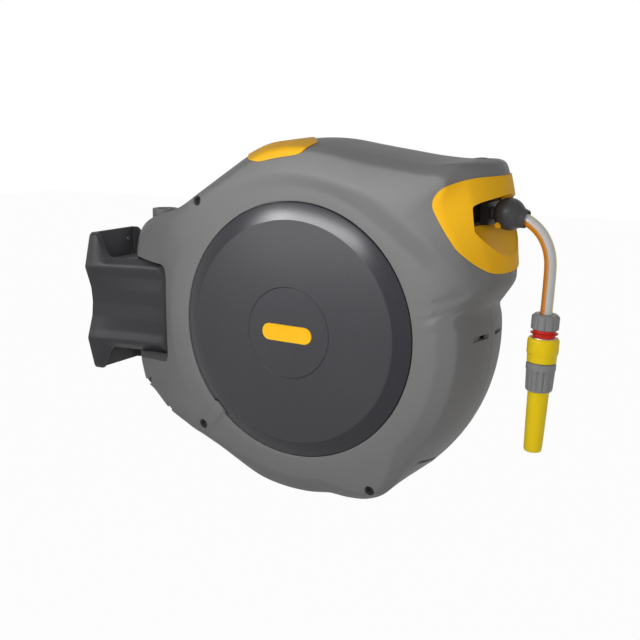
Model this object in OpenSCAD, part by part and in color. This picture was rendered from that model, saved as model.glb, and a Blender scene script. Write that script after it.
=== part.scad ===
// Retractable hose reel on a swivel wall bracket.
// Millimetres. Origin: centre of the wall plate's back face. +X points away
// from the wall towards the hose outlet, +Z up, -Y is the side with the plain cover.

/* [Casing] */
// distance from the wall to the drum axis
axis_x = 358; // [354:1:366]
// diameter of the round side covers
cover_d = 320; // [316:1:322]
// gap between two mouldings that lie side by side
seam = 0.2; // [0.1:0.05:0.4]
// gap between the yellow caps and the casing
cap_gap = 0.35; // [0.25:0.05:0.6]
// thickness of the yellow caps
cap_t = 2.4; // [1.6:0.2:3]
// clear hole for the casing screws
case_screw_d = 4.4; // [4:0.2:5]

/* [Bracket] */
// height of the wall plate
plate_h = 196; // [186:1:204]
// half width of the wall plate at its widest line
plate_w = 62; // [58:1:64]
// height between the two rows of wall screws
bolt_z = 164; // [158:1:168]
// distance between the two columns of wall screws
bolt_y = 60; // [50:1:64]
// clear hole for a wall screw
bolt_d = 6.5; // [5:0.5:7]

/* [Pivot] */
// distance from the drum axis back to the swivel pin
pivot_back = 262; // [260:1:264]
// diameter of the swivel pin
pin_d = 18; // [15:1:20]
// running clearance on the radius of every turning or sliding piece
play = 0.06; // [0.03:0.01:0.1]
// height of the arm between the two jaws of the casing
arm_h = 130; // [124:1:130]

/* [Drum] */
// radius of the hub the hose is wound on
hub_r = 80; // [74:1:84]
// thickness of a drum flange
flange_t = 5; // [4:0.5:6]
// inside width of the drum
drum_w = 120; // [116:1:122]
// radius of the hollow spindle
spindle_r = 20; // [18:0.5:21]
// number of teeth of the rim gear on the far flange
rim_teeth = 85; // [83:1:86]
// number of teeth of the pinion on the cross screw
pinion_teeth = 14; // [13:1:15]
// tooth module of both gears
gear_m = 4; // [4:0.5:4]

/* [Guide] */
// diameter of the two guide rods
rod_d = 8; // [7:0.5:9]
// diameter of the cross screw
cross_d = 14; // [12:1:15]
// outlet height above the drum axis
out_z = 150; // [149:1:152]
// half width of the carriage's front block
front_w = 17.6; // [15:0.2:19]

/* [Hose] */
// outside diameter of the hose
hose_d = 14.5; // [13:0.5:15]
// diameter of the stop ball
ball_d = 38.8; // [37:0.2:40]
// diameter of the release collar
collar_d = 37.6; // [36:0.2:39]
// diameter of the nozzle's ribbed nut
nut_d = 35.6; // [34:0.2:37]

/* [Hidden] */
$fn = 48;

grey = [0.36, 0.36, 0.37];
dark = [0.12, 0.12, 0.13];
black = [0.03, 0.03, 0.03];
smoke = [0.10, 0.10, 0.13];
amber = [0.95, 0.55, 0.04];
lemon = [0.93, 0.74, 0.06];
red = [0.75, 0.08, 0.06];
steel = [0.6, 0.6, 0.62];

cover_r = cover_d / 2;
seat_r = cover_r + 1;
boss_a = 225;
boss_h = 3;
boss_in = 4.4;
open_r = cover_r - 8.5;
plate_t = 5;
badge_w = 70;
badge_h = 21;
face_h = 88;
pivot_x = axis_x - pivot_back;
pin_r = pin_d / 2;
flange_r = rim_teeth * gear_m / 2;
mesh_a = 30;
cross_c = (rim_teeth + pinion_teeth) * gear_m / 2;
cross_x = cross_c * cos(mesh_a);
cross_z = cross_c * sin(mesh_a);
rod_x = 200;
rod_dz = 24;
hose_r = hose_d / 2;

// Helpers: a flat shape drawn in X and Z pushed along Y, and a turned shape about Y.
module along_y(y0, y1) translate([0, y1, 0]) rotate([90, 0, 0])
  linear_extrude(y1 - y0) children();
module turned_y() rotate([-90, 0, 0]) rotate_extrude($fn = 96) children();
module rod_y(r, y0, y1, x = 0, z = 0) translate([x, y0, z]) rotate([-90, 0, 0])
  cylinder(r = r, h = y1 - y0);
module rod_x(r, x0, x1, z = 0, y = 0) translate([x0, y, z]) rotate([0, 90, 0])
  cylinder(r = r, h = x1 - x0);

// Casing surface. Each row is one spoke round the drum axis: an angle, then the
// points A (parting plane), B (rim edge), C (face edge), E (lip), G and F (ring
// face), each as x, z and half depth. Rows between them are blended.
function ray(a, r, h) = [r * cos(a), r * sin(a), h];
function plain(a, b = 211, c = 192, hb = 74, hc = 87, m = 226.5) = [a, ray(a, m, 0),
  ray(a, b, hb), ray(a, c, hc), ray(a, 184, face_h), ray(a, 177, face_h),
  ray(a, 171, face_h)];
ROWS = [
  plain(-5),
  plain(4),
  [9, [225, 36, 0], [208, 34, 73], [197, 32, 82], [190, 31, 87], [182, 29, 88], [173, 28, 88]],
  [12, [235, 49, 0], [222, 46, 52], [211, 44, 69], [203, 43, 76], [195, 41, 82], [184, 39, 88]],
  [15, [245, 65, 0], [239, 64, 38], [232, 62, 55], [225, 60, 66], [206, 55, 76], [184, 50, 88]],
  [18.5, [246, 83, 0], [239, 80, 45], [228, 76, 66], [219, 76, 77], [203, 66, 83], [183, 58, 88]],
  [23, [246, 104, 0], [235, 99, 52], [221, 94, 75], [208, 96, 87], [193, 80, 88], [177, 72, 88]],
  [28, [245, 130, 0], [230, 122, 58], [212, 113, 82], [192, 110.6, 95.5], [175, 92, 88], [162, 84, 88]],
  [34, [242, 163, 0], [224, 153, 64], [200, 140, 86], [173, 127.6, 99.5], [157, 107, 88], [150, 98, 88]],
  [38.5, [238, 189, 0], [216.6, 179.5, 64], [192, 164.8, 87], [154.3, 139.6, 100], [140, 120, 88], [134, 112, 88]],
  [41.5, [233, 205, 0], [210, 202.3, 65], [198, 189.7, 87], [142.4, 147.6, 100], [128, 129, 88], [122, 124, 88]],
  [45, [222, 212, 0], [200, 209, 69], [188, 197, 86], [130.5, 156.5, 100], [120, 134, 88], [115, 130, 88]],
  [50, [180, 212.5, 0], [172, 208.4, 70], [166, 199, 86], [114.5, 166.5, 100], [108, 142, 88], [104, 138, 88]],
  [56, [146, 215, 0], [140, 211, 67], [136, 203, 86], [98.3, 174.4, 99.5], [92, 152, 88], [90, 147, 88]],
  [66, [98, 222, 0], [95, 217.3, 62.5], [92, 209.5, 85], [76.2, 181.3, 99], [68, 165, 88], [66, 160, 88]],
  [76, [58, 228, 0], [54, 223.6, 60], [52, 217.4, 84], [43.7, 189.2, 97.5], [38, 174, 88], [37, 169, 88]],
  [86, [18, 234, 0], [17, 229.5, 57], [16, 222.8, 82], [13.5, 193.2, 95.5], [11, 178, 88], [10, 172, 88]],
  [96, [-22, 233, 0], [-22, 230.8, 54], [-21, 222.8, 80], [-18, 193, 93], [-17, 178, 88], [-16, 172, 88]],
  [104, [-57, 225, 0], [-54, 226, 55], [-51, 215.3, 80], [-45, 189, 91], [-42, 174, 88], [-41, 168, 88]],
  [111, [-82, 213, 0], [-78, 215, 59], [-72, 203.5, 81], [-65, 186, 89.5], [-61, 168, 88], [-59, 163, 88]],
  [120, [-114, 195, 0], [-108, 192.6, 70], [-104, 181, 86], [-99, 171, 88.5], [-93, 154, 88], [-90, 149, 88]],
  [131, [-150, 172, 0], [-144, 165, 82], [-139, 157, 88], [-131, 150, 88.3], [-118, 135, 88], [-114, 131, 88]],
  [141, [-186, 149, 0], [-178, 144, 81], [-172, 136, 87], [-160, 130, 88], [-141, 115, 88], [-136, 111, 88]],
  [149, [-226, 130, 0], [-212, 133, 73], [-204, 125, 80], [-184, 112, 86.5], [-159, 96, 88], [-151, 91, 88]],
  [155, [-264, 119, 0], [-243, 124, 58], [-235, 116, 68], [-205, 100, 80], [-170, 83, 88], [-160, 78, 88]],
  [161, [-290, 103, 0], [-262, 110, 50], [-256, 103, 60], [-214, 85, 76.5], [-178, 70, 87.5], [-167, 66, 88]],
  [167, [-297, 78, 0], [-272, 82, 50], [-264, 79, 61], [-213, 65, 75], [-184, 55, 87.3], [-173, 52, 88]],
  [174, [-297, 40, 0], [-273, 40, 50], [-265, 39, 60], [-213, 32, 74.5], [-190, 27, 87], [-178, 25, 88]],
  [186, [-297, -40, 0], [-273, -40, 50], [-265, -39, 60], [-213, -32, 74.5], [-190, -27, 87], [-178, -25, 88]],
  [194, [-294, -78, 0], [-270, -80, 50], [-262, -77, 61], [-213, -65, 75.5], [-184, -56, 87.3], [-173, -53, 88]],
  [200, [-276, -104, 0], [-256, -101, 60], [-248, -95, 68], [-212, -85, 79], [-177, -74, 87.6], [-166, -70, 88]],
  [206.5, [-250, -121, 0], [-236, -111, 67], [-228, -106, 74], [-198, -98, 82.5], [-168, -89, 88], [-158, -84, 88]],
  [214, [-216, -142, 0], [-203, -132, 77], [-196, -127, 83], [-176, -117, 87], [-153, -109, 88], [-144, -102, 88]],
  [220, [-187.5, -156, 0], [-176, -145.5, 78.5], [-170, -140.5, 85], [-156.5, -132, 87.8],
    [-140, -122.5, 88], [-133, -115, 88]],
  [223, [-173.5, -162.5, 0], [-163, -151.8, 79], [-157, -147, 86], [-147, -138.6, 88],
    [-133.8, -128.6, 88], [-127, -121, 88]],
  [227, [-158.5, -168.5, 0], [-148.5, -157.5, 79], [-143, -152.8, 86.2], [-135, -144.6, 88],
    [-124.6, -135.6, 88], [-118.4, -128.6, 88]],
  [230, [-147.5, -173.5, 0], [-138, -162, 79], [-132.8, -157.2, 86.4], [-126, -149.2, 88],
    [-117.2, -141, 88], [-111.8, -134.4, 88]],
  [236, [-127.5, -184, 0], [-118.8, -171, 78.4], [-113, -164.8, 86.7], [-107.5, -156.8, 88],
    [-101.5, -149, 88], [-97, -143.6, 88]],
  [243, [-105, -200, 0], [-97, -183, 77], [-91, -174, 87], [-86, -166, 88], [-82, -158, 88], [-79, -153, 88]],
  plain(253),
  plain(263),
  plain(273),
  plain(281),
  plain(288, 220, 205, 73, 85.5),
  plain(294, 227.5, 217, 72, 84),
  plain(300, 230, 222, 71, 83.5),
  plain(306, 225, 214, 72, 84.5),
  plain(311, 216.5, 202, 73, 86),
  plain(317),
  plain(326),
  plain(335),
  plain(345)
];
NR = len(ROWS);
SUB = 2;
function row(i) = let (k = floor(i / NR), r = ROWS[i - k * NR])
  [for (j = [0:6]) j == 0 ? r[0] + 360 * k : r[j]];
function slope(a, b, c, i) = let (h0 = b[0] - a[0], h1 = c[0] - b[0])
  ((c[i] - b[i]) * (h0 / h1) + (b[i] - a[i]) * (h1 / h0)) / (h0 + h1);
function blend_row(i, s) = let (a = row(i - 1), b = row(i), c = row(i + 1), d = row(i + 2),
  w = c[0] - b[0], s2 = s * s, s3 = s2 * s)
  [for (j = [0:6]) j == 0 ? b[0] + w * s :
    b[j] * (2 * s3 - 3 * s2 + 1) + c[j] * (3 * s2 - 2 * s3) +
    slope(a, b, c, j) * w * (s3 - 2 * s2 + s) + slope(b, c, d, j) * w * (s3 - s2)];
SPOKES = [for (i = [0:NR - 1], j = [0:SUB - 1]) blend_row(i, j / SUB)];
NS = len(SPOKES);
function rad(p) = norm([p[0], p[1]]);
// 1 on the rib that runs out from the cover at boss_a, easing to 0 at its sides and end
function ease(v, a, b) = let (t = min(max((v - a) / (b - a), 0), 1)) t * t * (3 - 2 * t);
function boss(p) = cos(atan2(p[1], p[0]) - boss_a) < 0 ? 0 :
  1 - ease(abs(rad(p) * sin(atan2(p[1], p[0]) - boss_a)), 6, 14);
function raised(p) = [p[0], p[1], p[2] + boss_h * boss(p) * (1 - ease(rad(p), 190, 208))];
function part_way(a, b, q, s) = [a[0] + (b[0] - a[0]) * q, a[1] + (b[1] - a[1]) * q,
  a[2] + (b[2] - a[2]) * s];
// skin stations from the parting plane to the ring face
function skin(r) = [r[1], part_way(r[1], r[2], 0.16, 0.4), part_way(r[1], r[2], 0.56, 0.75),
  r[2], raised(r[3]), raised(r[4]), raised(r[5]), raised(r[6])];
function rear(a) = cos(a) < -0.2 ? -1 / cos(a) : 9;
function lining(r) = let (a = atan2(r[6][1], r[6][0]), t = r[0],
    b = boss(ray(a, seat_r, 0)), s = seat_r - boss_in * b)
  [ray(a, s, face_h + boss_h * b), ray(a, s, face_h - 5), ray(a, open_r, face_h - 5),
   ray(a, open_r, face_h - 9),
   ray(t, min(rad(r[3]) - 9, 190 * rear(t)),
     min((rad(r[3]) - 9 > 190 * rear(t) ? r[4][2] : r[3][2]) - 8, 79)),
   ray(t, min(rad(r[2]) - 7, 195 * rear(t)), min(r[2][2] - 6, 68)),
   ray(t, min(rad(r[1]) - 4.5, 197 * rear(t)), 0)];
function loop(r) = concat(skin(r), lining(r));
ML = 15;
function near(p) = [p[0] + axis_x, -max(p[2], seam / 2), p[1]];
module half_shell() {
  pts = [for (r = SPOKES, p = loop(r)) near(p)];
  faces = [for (i = [0:NS - 1], k = [0:ML - 1])
    let (i2 = (i + 1) % NS, k2 = (k + 1) % ML,
      a = i * ML + k, b = i * ML + k2, c = i2 * ML + k2, d = i2 * ML + k)
    each [[a, b, c], [a, c, d]]];
  polyhedron(pts, faces, convexity = 10);
}

// A cap that follows the casing from lip to lip over spokes i0 to i1.
function over(r) = let (s = skin(r))
  concat([for (k = [6:-1:1]) [s[k][0], -s[k][2], s[k][1]]], [[s[0][0], 0, s[0][1]]],
    [for (k = [1:6]) [s[k][0], s[k][2], s[k][1]]]);
module cap_shell(i0, i1, d0, d1) {
  g = [for (i = [i0:i1]) over(SPOKES[i])];
  n = i1 - i0 + 1;
  m = 13;
  nrm = [for (i = [0:n - 1]) [for (j = [0:m - 1]) let (
    u = g[min(i + 1, n - 1)][j] - g[max(i - 1, 0)][j],
    v = g[i][min(j + 1, m - 1)] - g[i][max(j - 1, 0)], w = cross(v, u)) w / norm(w)]];
  out = [for (i = [0:n - 1], j = [0:m - 1]) g[i][j] + nrm[i][j] * d1];
  inn = [for (i = [0:n - 1], j = [0:m - 1]) g[i][j] + nrm[i][j] * d0];
  q = n * m;
  top = [for (i = [0:n - 2], j = [0:m - 2])
    let (a = i * m + j, b = a + 1, c = a + m, d = c + 1)
    each j < 6 ? [[b, a, c], [b, c, d]] : [[a, d, b], [a, c, d]]];
  bot = [for (f = top) [f[2] + q, f[1] + q, f[0] + q]];
  e0 = [for (j = [0:m - 2]) j];
  side_i0 = [for (j = [0:m - 2]) each [[j, j + 1, j + 1 + q], [j, j + 1 + q, j + q]]];
  b0 = (n - 1) * m;
  side_i1 = [for (j = [0:m - 2]) each
    [[b0 + j + 1, b0 + j, b0 + j + q], [b0 + j + 1, b0 + j + q, b0 + j + 1 + q]]];
  side_j0 = [for (i = [0:n - 2]) let (a = i * m, b = a + m) each
    [[b, a, a + q], [b, a + q, b + q]]];
  side_j1 = [for (i = [0:n - 2]) let (a = i * m + m - 1, b = a + m) each
    [[a, b, b + q], [a, b + q, a + q]]];
  translate([axis_x, 0, 0])
    polyhedron(concat(out, inn), concat(top, bot, side_i0, side_i1, side_j0, side_j1),
      convexity = 8);
}

// Mouth of the outlet: a slot at the back that opens into a bowl at the front.
module mouth(g) hull() {
  translate([axis_x + 209, 0, out_z]) rotate([0, 90, 0]) linear_extrude(4)
    offset(r = 6 + g, $fn = 24) square([28 - 12, 126 - 12], center = true);
  translate([axis_x + 247, 0, 0]) rotate([90, 0, 90]) linear_extrude(6)
    offset(r = g, $fn = 24) polygon([[-74, 158], [-66, 169], [-42, 172.5], [0, 174.5],
      [42, 172.5], [66, 169], [74, 158], [74, 140], [67, 119], [52, 109], [28, 102.5],
      [0, 100.5], [-28, 102.5], [-52, 109], [-67, 119], [-74, 140]]);
}

SCREWS = [[-144, 155], [-139, -139], [104, -191]];
head_y = 76;
rod_end = 75;
journal_r = 4;
journal_y = 84;
jaw_z = arm_h / 2 + 1.5;
module half_cuts() {
  translate([axis_x, 0, 0]) {
    // notch between the jaws
    along_y(-100, 0) polygon([for (q = [[0, -12], [1.2, -6], [4, -2], [9, 0], [127, 0]])
      [-203 - q[0], -jaw_z - q[1]], for (q = [[127, 0], [14, 0], [9, -0.6], [4, -3.5], [1.2, -9],
      [0, -16]]) [-203 - q[0], jaw_z + q[1]]]);
    for (s = SCREWS) {
      rod_y(case_screw_d / 2, -100, 1, s[0], s[1]);
      rod_y(case_screw_d / 2 + 3.3, -100, -head_y, s[0], s[1]);
    }
    // recesses beside the parting line
    for (a = [1, -45]) rotate([0, -a, 0]) translate([0, 0, -3]) linear_extrude(6)
      polygon([[219.5, -54], [240, -54], [240, -10], [205, -10], [205, -24], [219, -24]]);
    for (a = [200.5, 208.5]) rotate([0, -a, 0])
      translate([a < 205 ? 277 : 255, -50, -4]) cube([60, 6, 7]);
    // guide rod sockets and cross screw bearing
    for (s = [-1, 1]) rod_y(rod_d / 2 + 0.02, -rod_end - 0.2, 1, rod_x, out_z + s * rod_dz);
    rod_y(journal_r + play, -journal_y - 1, 1, cross_x, cross_z);
  }
  translate([pivot_x, 0, 0]) {
    translate([0, 0, -140]) cylinder(r = pin_r + play, h = 300);
    translate([0, 0, 112]) cylinder(r = 18, h = 60);
  }
}

module casing_near() color(grey) difference() {
  half_shell();
  half_cuts();
  mouth(4.4);
  translate([axis_x, 0, 0]) rod_y(4.05, -84, -60, ray(pawl_a, pawl_r, 0)[0],
    ray(pawl_a, pawl_r, 0)[1]);
}
module casing_far() color(grey) difference() {
  mirror([0, 1, 0]) half_shell();
  mirror([0, 1, 0]) half_cuts();
  mouth(4.4);
}

// Round side covers, turned about the drum axis.
module cover_profile(hole) polygon([[hole, 104.2], [30, 104.1], [56.4, 103.2], [57, 102.6],
  [57.6, 103.1], [100, 101.2], [138, 98], [140, 97.4], [cover_r - 2, 89.2],
  [cover_r, 88.2], [cover_r, 83.3], [open_r - 0.4, 83.3], [open_r - 0.4, 86],
  [136, 93.4], [57, 98.5], [29, 99.6], [29, half_w + 8.5], [spindle_r + 0.05, half_w + 8.5],
  [spindle_r + 0.05, 98.6], [hole, 98.6]]);
module cover_notch() rotate([0, 360 - boss_a, 0]) along_y(-110, 110)
  polygon([[cover_r - 3.8, -7], [cover_r - 3.8, 7], [cover_r + 1, 14.5], [cover_r + 10, 14.5],
    [cover_r + 10, -14.5], [cover_r + 1, -14.5]]);
module cover_near() color(smoke) translate([axis_x, 0, 0]) difference() {
  mirror([0, 1, 0]) turned_y() cover_profile(0);
  cover_notch();
  badge_place() along_y(-1, 3) badge_shape(0.3);
}
module cover_far() color(smoke) translate([axis_x, 0, 0]) difference() {
  turned_y() cover_profile(14.2);
  cover_notch();
}
module badge_place() translate([-1, -104, -0.5]) rotate([0, 8.7, 0]) children();
module badge_shape(g) union() {
  square([badge_w - badge_h, badge_h + 2 * g], center = true);
  for (s = [-1, 1]) translate([s * (badge_w - badge_h) / 2, 0]) circle(r = badge_h / 2 + g);
}
module badge() color(amber) translate([axis_x, 0, 0]) badge_place()
  along_y(-0.9, 2.7) badge_shape(0);

module handle_cap() color(amber) intersection() {
  cap_shell(30, 40, cap_gap, cap_gap + cap_t);
  translate([axis_x, 0, 0]) along_y(-120, 120) polygon([[-74, 209], [-62, 207.5],
    [-50, 206.5], [-28, 211.5], [-5, 215], [6, 217], [12, 221], [15, 229], [19, 236],
    [19, 250], [-90, 250], [-90, 218], [-80, 213]]);
}
module outlet_bezel() color(amber) difference() {
  intersection() {
    cap_shell(6, 21, cap_gap, cap_gap + cap_t);
    translate([axis_x, 0, 0]) along_y(-120, 120) polygon([[184, 167], [186.5, 174],
      [192, 181], [200, 186.5], [209, 190.5], [221, 194], [236, 195], [262, 194],
      [262, 81], [247, 81], [238, 86.5], [228, 96], [211, 115], [198, 136], [187, 155],
      [184.5, 161]]);
  }
  mouth(0);
}
module outlet_throat() color(amber) intersection() {
  difference() {
    mouth(4);
    mouth(0);
    translate([axis_x + 200, -90, 80]) cube([9.05, 180, 120]);
  }
  translate([axis_x + 237.5 - 122, 0, 0]) cylinder(r = 122, h = 400, center = true, $fn = 96);
}
module slot_liner() color(black) translate([axis_x, 0, out_z]) difference() {
  translate([205.4, -62, -18]) cube([3.4, 124, 36]);
  translate([200, -45, -10.5]) cube([12, 90, 21]);
}

module casing_screws() color(steel) translate([axis_x, 0, 0]) for (s = SCREWS) {
  rod_y(case_screw_d / 2 + 2.6, -head_y - 3.2, -head_y - 0.02, s[0], s[1]);
  rod_y(case_screw_d / 2 - 0.2, -head_y - 0.1, head_y - 2, s[0], s[1]);
}

// Bracket: a lofted body of rounded hourglass sections from the wall to the pivot.
WALL = [
  // x, share of the way from plate to arm height, half width at the corner, how
  // far the ridge is inside the widest line, half width at the waist
  [0, 0, 50, 0, 48.5], [10, 0, 50, 1, 48.5], [14, 0.1, 49.5, 1.8, 48.3], [18, 0.38, 49, 2.8, 48],
  [22, 0.68, 48.3, 4, 47.7], [26, 0.88, 47.5, 5.2, 47.4], [31, 1, 47, 6.2, 47],
  [45, 1, 45.5, 8.5, 46], [60, 1, 44, 10.5, 45], [78, 1, 42, 13, 44], [150, 1, 40, 15, 43]];
function section(s) = let (x = s[0], h = plate_h / 2 + (arm_h - plate_h) / 2 * s[1],
  c = s[2], w = plate_w - s[3], m = s[4], k = 52,
  q = [[c - 4, h], [c, h - 4], [w - 1.5, k + 4], [w, k - 1], [w - 4.5, k - 13],
    [m + 2.2, 20], [m, 0]])
  concat([for (p = q) [x, -p[0], p[1]]], [for (i = [5:-1:0]) [x, -q[i][0], -q[i][1]]],
    [for (i = [0:5]) [x, q[i][0], -q[i][1]]], [for (i = [6:-1:0]) [x, q[i][0], q[i][1]]]);
module bracket_loft() {
  n = len(WALL);
  m = 26;
  pts = [for (s = WALL, p = section(s)) p];
  sides = [for (i = [0:n - 2], j = [0:m - 1]) let (a = i * m + j, b = i * m + (j + 1) % m,
    c = (i + 1) * m + (j + 1) % m, d = (i + 1) * m + j) each [[a, b, c], [a, c, d]]];
  last = (n - 1) * m;
  mid = n * m;
  polyhedron(concat(pts, [[WALL[0][0], 0, 0], [WALL[n - 1][0], 0, 0]]),
    concat(sides, [for (j = [0:m - 1]) [(j + 1) % m, j, mid]],
    [for (j = [0:m - 1]) [last + j, last + (j + 1) % m, mid + 1]]), convexity = 6);
}
module wall_bracket() color(dark) difference() {
  bracket_loft();
  translate([pivot_x, -80, -100]) difference() {
    cube([80, 160, 200]);
    translate([0, 80, -1]) cylinder(r = 50, h = 202, $fn = 96);
  }
  for (s = [0, 1]) mirror([0, 0, s]) {
    // open top between the corner ribs, then a deeper pocket by the wall
    translate([plate_t, -41, arm_h / 2 - 2]) cube([60 - plate_t, 82, 60]);
    translate([plate_t, -35, arm_h / 2 - 28]) cube([24, 70, 60]);
    translate([pivot_x, 0, arm_h / 2 - 11]) cylinder(r = pin_r + 3.1, h = 20);
  }
  for (y = [-1, 1], z = [-1, 1]) rod_x(bolt_d / 2, -5, 20, z * bolt_z / 2, y * bolt_y / 2);
  translate([pivot_x, 0, -100]) cylinder(r = pin_r + 0.6, h = 200);
}
module bush() difference() {
  union() {
    translate([0, 0, arm_h / 2 - 10.9]) cylinder(r = pin_r + 3, h = 11);
    translate([0, 0, arm_h / 2 + 0.05]) cylinder(r = pin_r + 9, h = 1.15);
  }
  translate([0, 0, 40]) cylinder(r = pin_r + play, h = 60);
}
module bush_upper() color(black) translate([pivot_x, 0, 0]) bush();
module bush_lower() color(black) translate([pivot_x, 0, 0]) mirror([0, 0, 1]) bush();
module pivot_pin() color(grey) translate([pivot_x, 0, 0]) {
  translate([0, 0, -86]) cylinder(r = pin_r, h = 199);
  difference() {
    translate([0, 0, 112.3]) cylinder(r = 17.4, h = 20.7);
    translate([0, 0, 130]) cylinder(r = 12.5, h = 10);
  }
}

// Spindle, water inlet and the power spring on it.
module spindle() color(steel) translate([axis_x, 0, 0]) difference() {
  rod_y(spindle_r, -98, 98);
  rod_y(9, -90, 120);
  for (y = [-62, 57]) rod_y(3, 0, 1);
}
inlet_y = 118;
tap_r = 7.2;
module inlet_way() translate([0, inlet_y, 0]) rotate([0, -120, 0]) children();
module inlet_elbow() color(grey) translate([axis_x, 0, 0]) difference() {
  union() {
    turned_y() polygon([[0, 88], [8.8, 88], [8.8, 99], [14, 99], [14, 125], [12.6, 129],
      [9, 131.4], [0, 132]]);
    inlet_way() cylinder(r = 9, h = 34);
  }
  rod_y(5, 80, inlet_y);
  inlet_way() cylinder(r = 4.8, h = 60);
}
module inlet_tap() color(lemon) translate([axis_x, 0, 0]) inlet_way() rotate_extrude()
  polygon([[9.05, 20], [13, 20], [13, 33], [11.5, 34.5], [8.6, 35], [8.6, 39], [9.2, 40.5],
    [8.6, 42], [tap_r, 42.5], [tap_r, 57.2], [6.2, 58], [4.8, 58], [4.8, 34.2], [9.05, 34.2]]);
module spring_case() color(dark) translate([axis_x, 0, 0]) turned_y()
  polygon([[spindle_r + 0.02, -36], [70, -36], [70, 36], [67, 36], [67, -33],
    [spindle_r + 4, -33], [spindle_r + 4, 30], [spindle_r + 0.02, 30]]);
module power_spring() color(steel) translate([axis_x, 0, 0]) along_y(-31, 29)
  polygon([for (q = [0, 1], i = [0:144]) let (a = q == 0 ? i * 15 : 2160 - i * 15,
    r = spindle_r + 4.35 + 1.2 * q + a * (41.2 / 2160)) [r * cos(a), r * sin(a)]]);

// Drum.
half_w = drum_w / 2;
module drum_hub() color(dark) translate([axis_x, 0, 0]) turned_y() polygon([
  [spindle_r + play, -half_w - 6], [spindle_r + 6, -half_w - 6], [spindle_r + 6, -46],
  [hub_r - 5, -46], [hub_r - 5, -half_w], [hub_r, -half_w], [hub_r, half_w],
  [hub_r - 5, half_w], [hub_r - 5, 46], [spindle_r + 6, 46], [spindle_r + 6, half_w + 6],
  [spindle_r + play, half_w + 6], [spindle_r + play, 41], [hub_r - 5, 41],
  [hub_r - 5, -41], [spindle_r + play, -41]]);
module flange_near() color(dark) translate([axis_x, 0, 0]) difference() {
  turned_y() polygon([[62, -half_w - flange_t], [flange_r - 4, -half_w - flange_t],
    [flange_r, -half_w - flange_t + 1], [flange_r, -half_w], [62, -half_w]]);
  for (a = [0:60:300]) rotate([0, a, 0]) rod_y(17, -90, 0, 122);
}
// involute rim: angle at radius r from the base circle rb
function inv(rb, r) = let (t = sqrt(max(0, (r / rb) * (r / rb) - 1))) t * 180 / PI - atan(t);
function gear(n, m, slack = 0.28, pa = 25) = let (rp = n * m / 2, rb = rp * cos(pa),
  ro = rp + 0.9 * m, rr = rp - 1.2 * m, ri = max(rb, rr + 0.2 * m),
  half = 90 / n - slack * 90 / (PI * rp) + inv(rb, rp))
  [for (k = [0:n - 1], q = [[-1, rr, ri], [-1, ri, ri], [-1, rp, rp], [-1, ro, ro],
      [1, ro, ro], [1, rp, rp], [1, ri, ri], [1, rr, ri]])
    let (a = k * 360 / n + q[0] * (half - inv(rb, q[2]))) [q[1] * cos(a), q[1] * sin(a)]];
module flange_far() color(dark) translate([axis_x, 0, 0]) difference() {
  rotate([0, -mesh_a - 180 / rim_teeth, 0]) along_y(half_w, half_w + flange_t)
    polygon(gear(rim_teeth, gear_m));
  rod_y(62, 0, 100);
  for (a = [0:60:300]) rotate([0, a, 0]) rod_y(17, 0, 90, 122);
}
pack_r = hub_r + 65;
module hose_pack() color([0.55, 0.55, 0.5]) translate([axis_x, 0, 0]) turned_y() {
  translate([hub_r + 0.2, -half_w + 0.4]) square([pack_r - hub_r - 8, drum_w - 0.8]);
  for (i = [0:7]) translate([pack_r - 7.4, -half_w + 7.6 + i * (drum_w - 15.2) / 7])
    circle(r = 7.2, $fn = 32);
}
pawl_a = 248;
pawl_r = flange_r + 6;
ratchet_n = 24;
ratchet_r = flange_r - 18;
module ratchet_ring() color(black) translate([axis_x, 0, 0])
  difference() {
    rotate([0, -ratchet_turn, 0]) along_y(-half_w - flange_t - 6, -half_w - flange_t)
      polygon([for (k = [0:ratchet_n - 1], q = [[0, 0], [0.12, 8], [0.9, 0.6]])
        let (a = (k + q[0]) * 360 / ratchet_n, r = ratchet_r + q[1]) [r * cos(a), r * sin(a)]]);
    rod_y(142, -100, 0);
  }
ratchet_turn = 3;
module pawl_pin() color(steel) translate([axis_x, 0, 0])
  rod_y(4, -83.5, -65.3, ray(pawl_a, pawl_r, 0)[0], ray(pawl_a, pawl_r, 0)[1]);
module pawl() color(red) translate([axis_x, 0, 0]) rotate([0, -pawl_a, 0])
  translate([pawl_r, 0, 0]) difference() {
    along_y(-half_w - flange_t - 5.6, -half_w - flange_t - 0.6)
      polygon([[-8, -7], [8, -6], [9, 6], [1, 10], [-6, 26], [-13.5, 30], [-10, 18], [-9, 8]]);
    rod_y(4 + play, -90, 0);
  }

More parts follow.
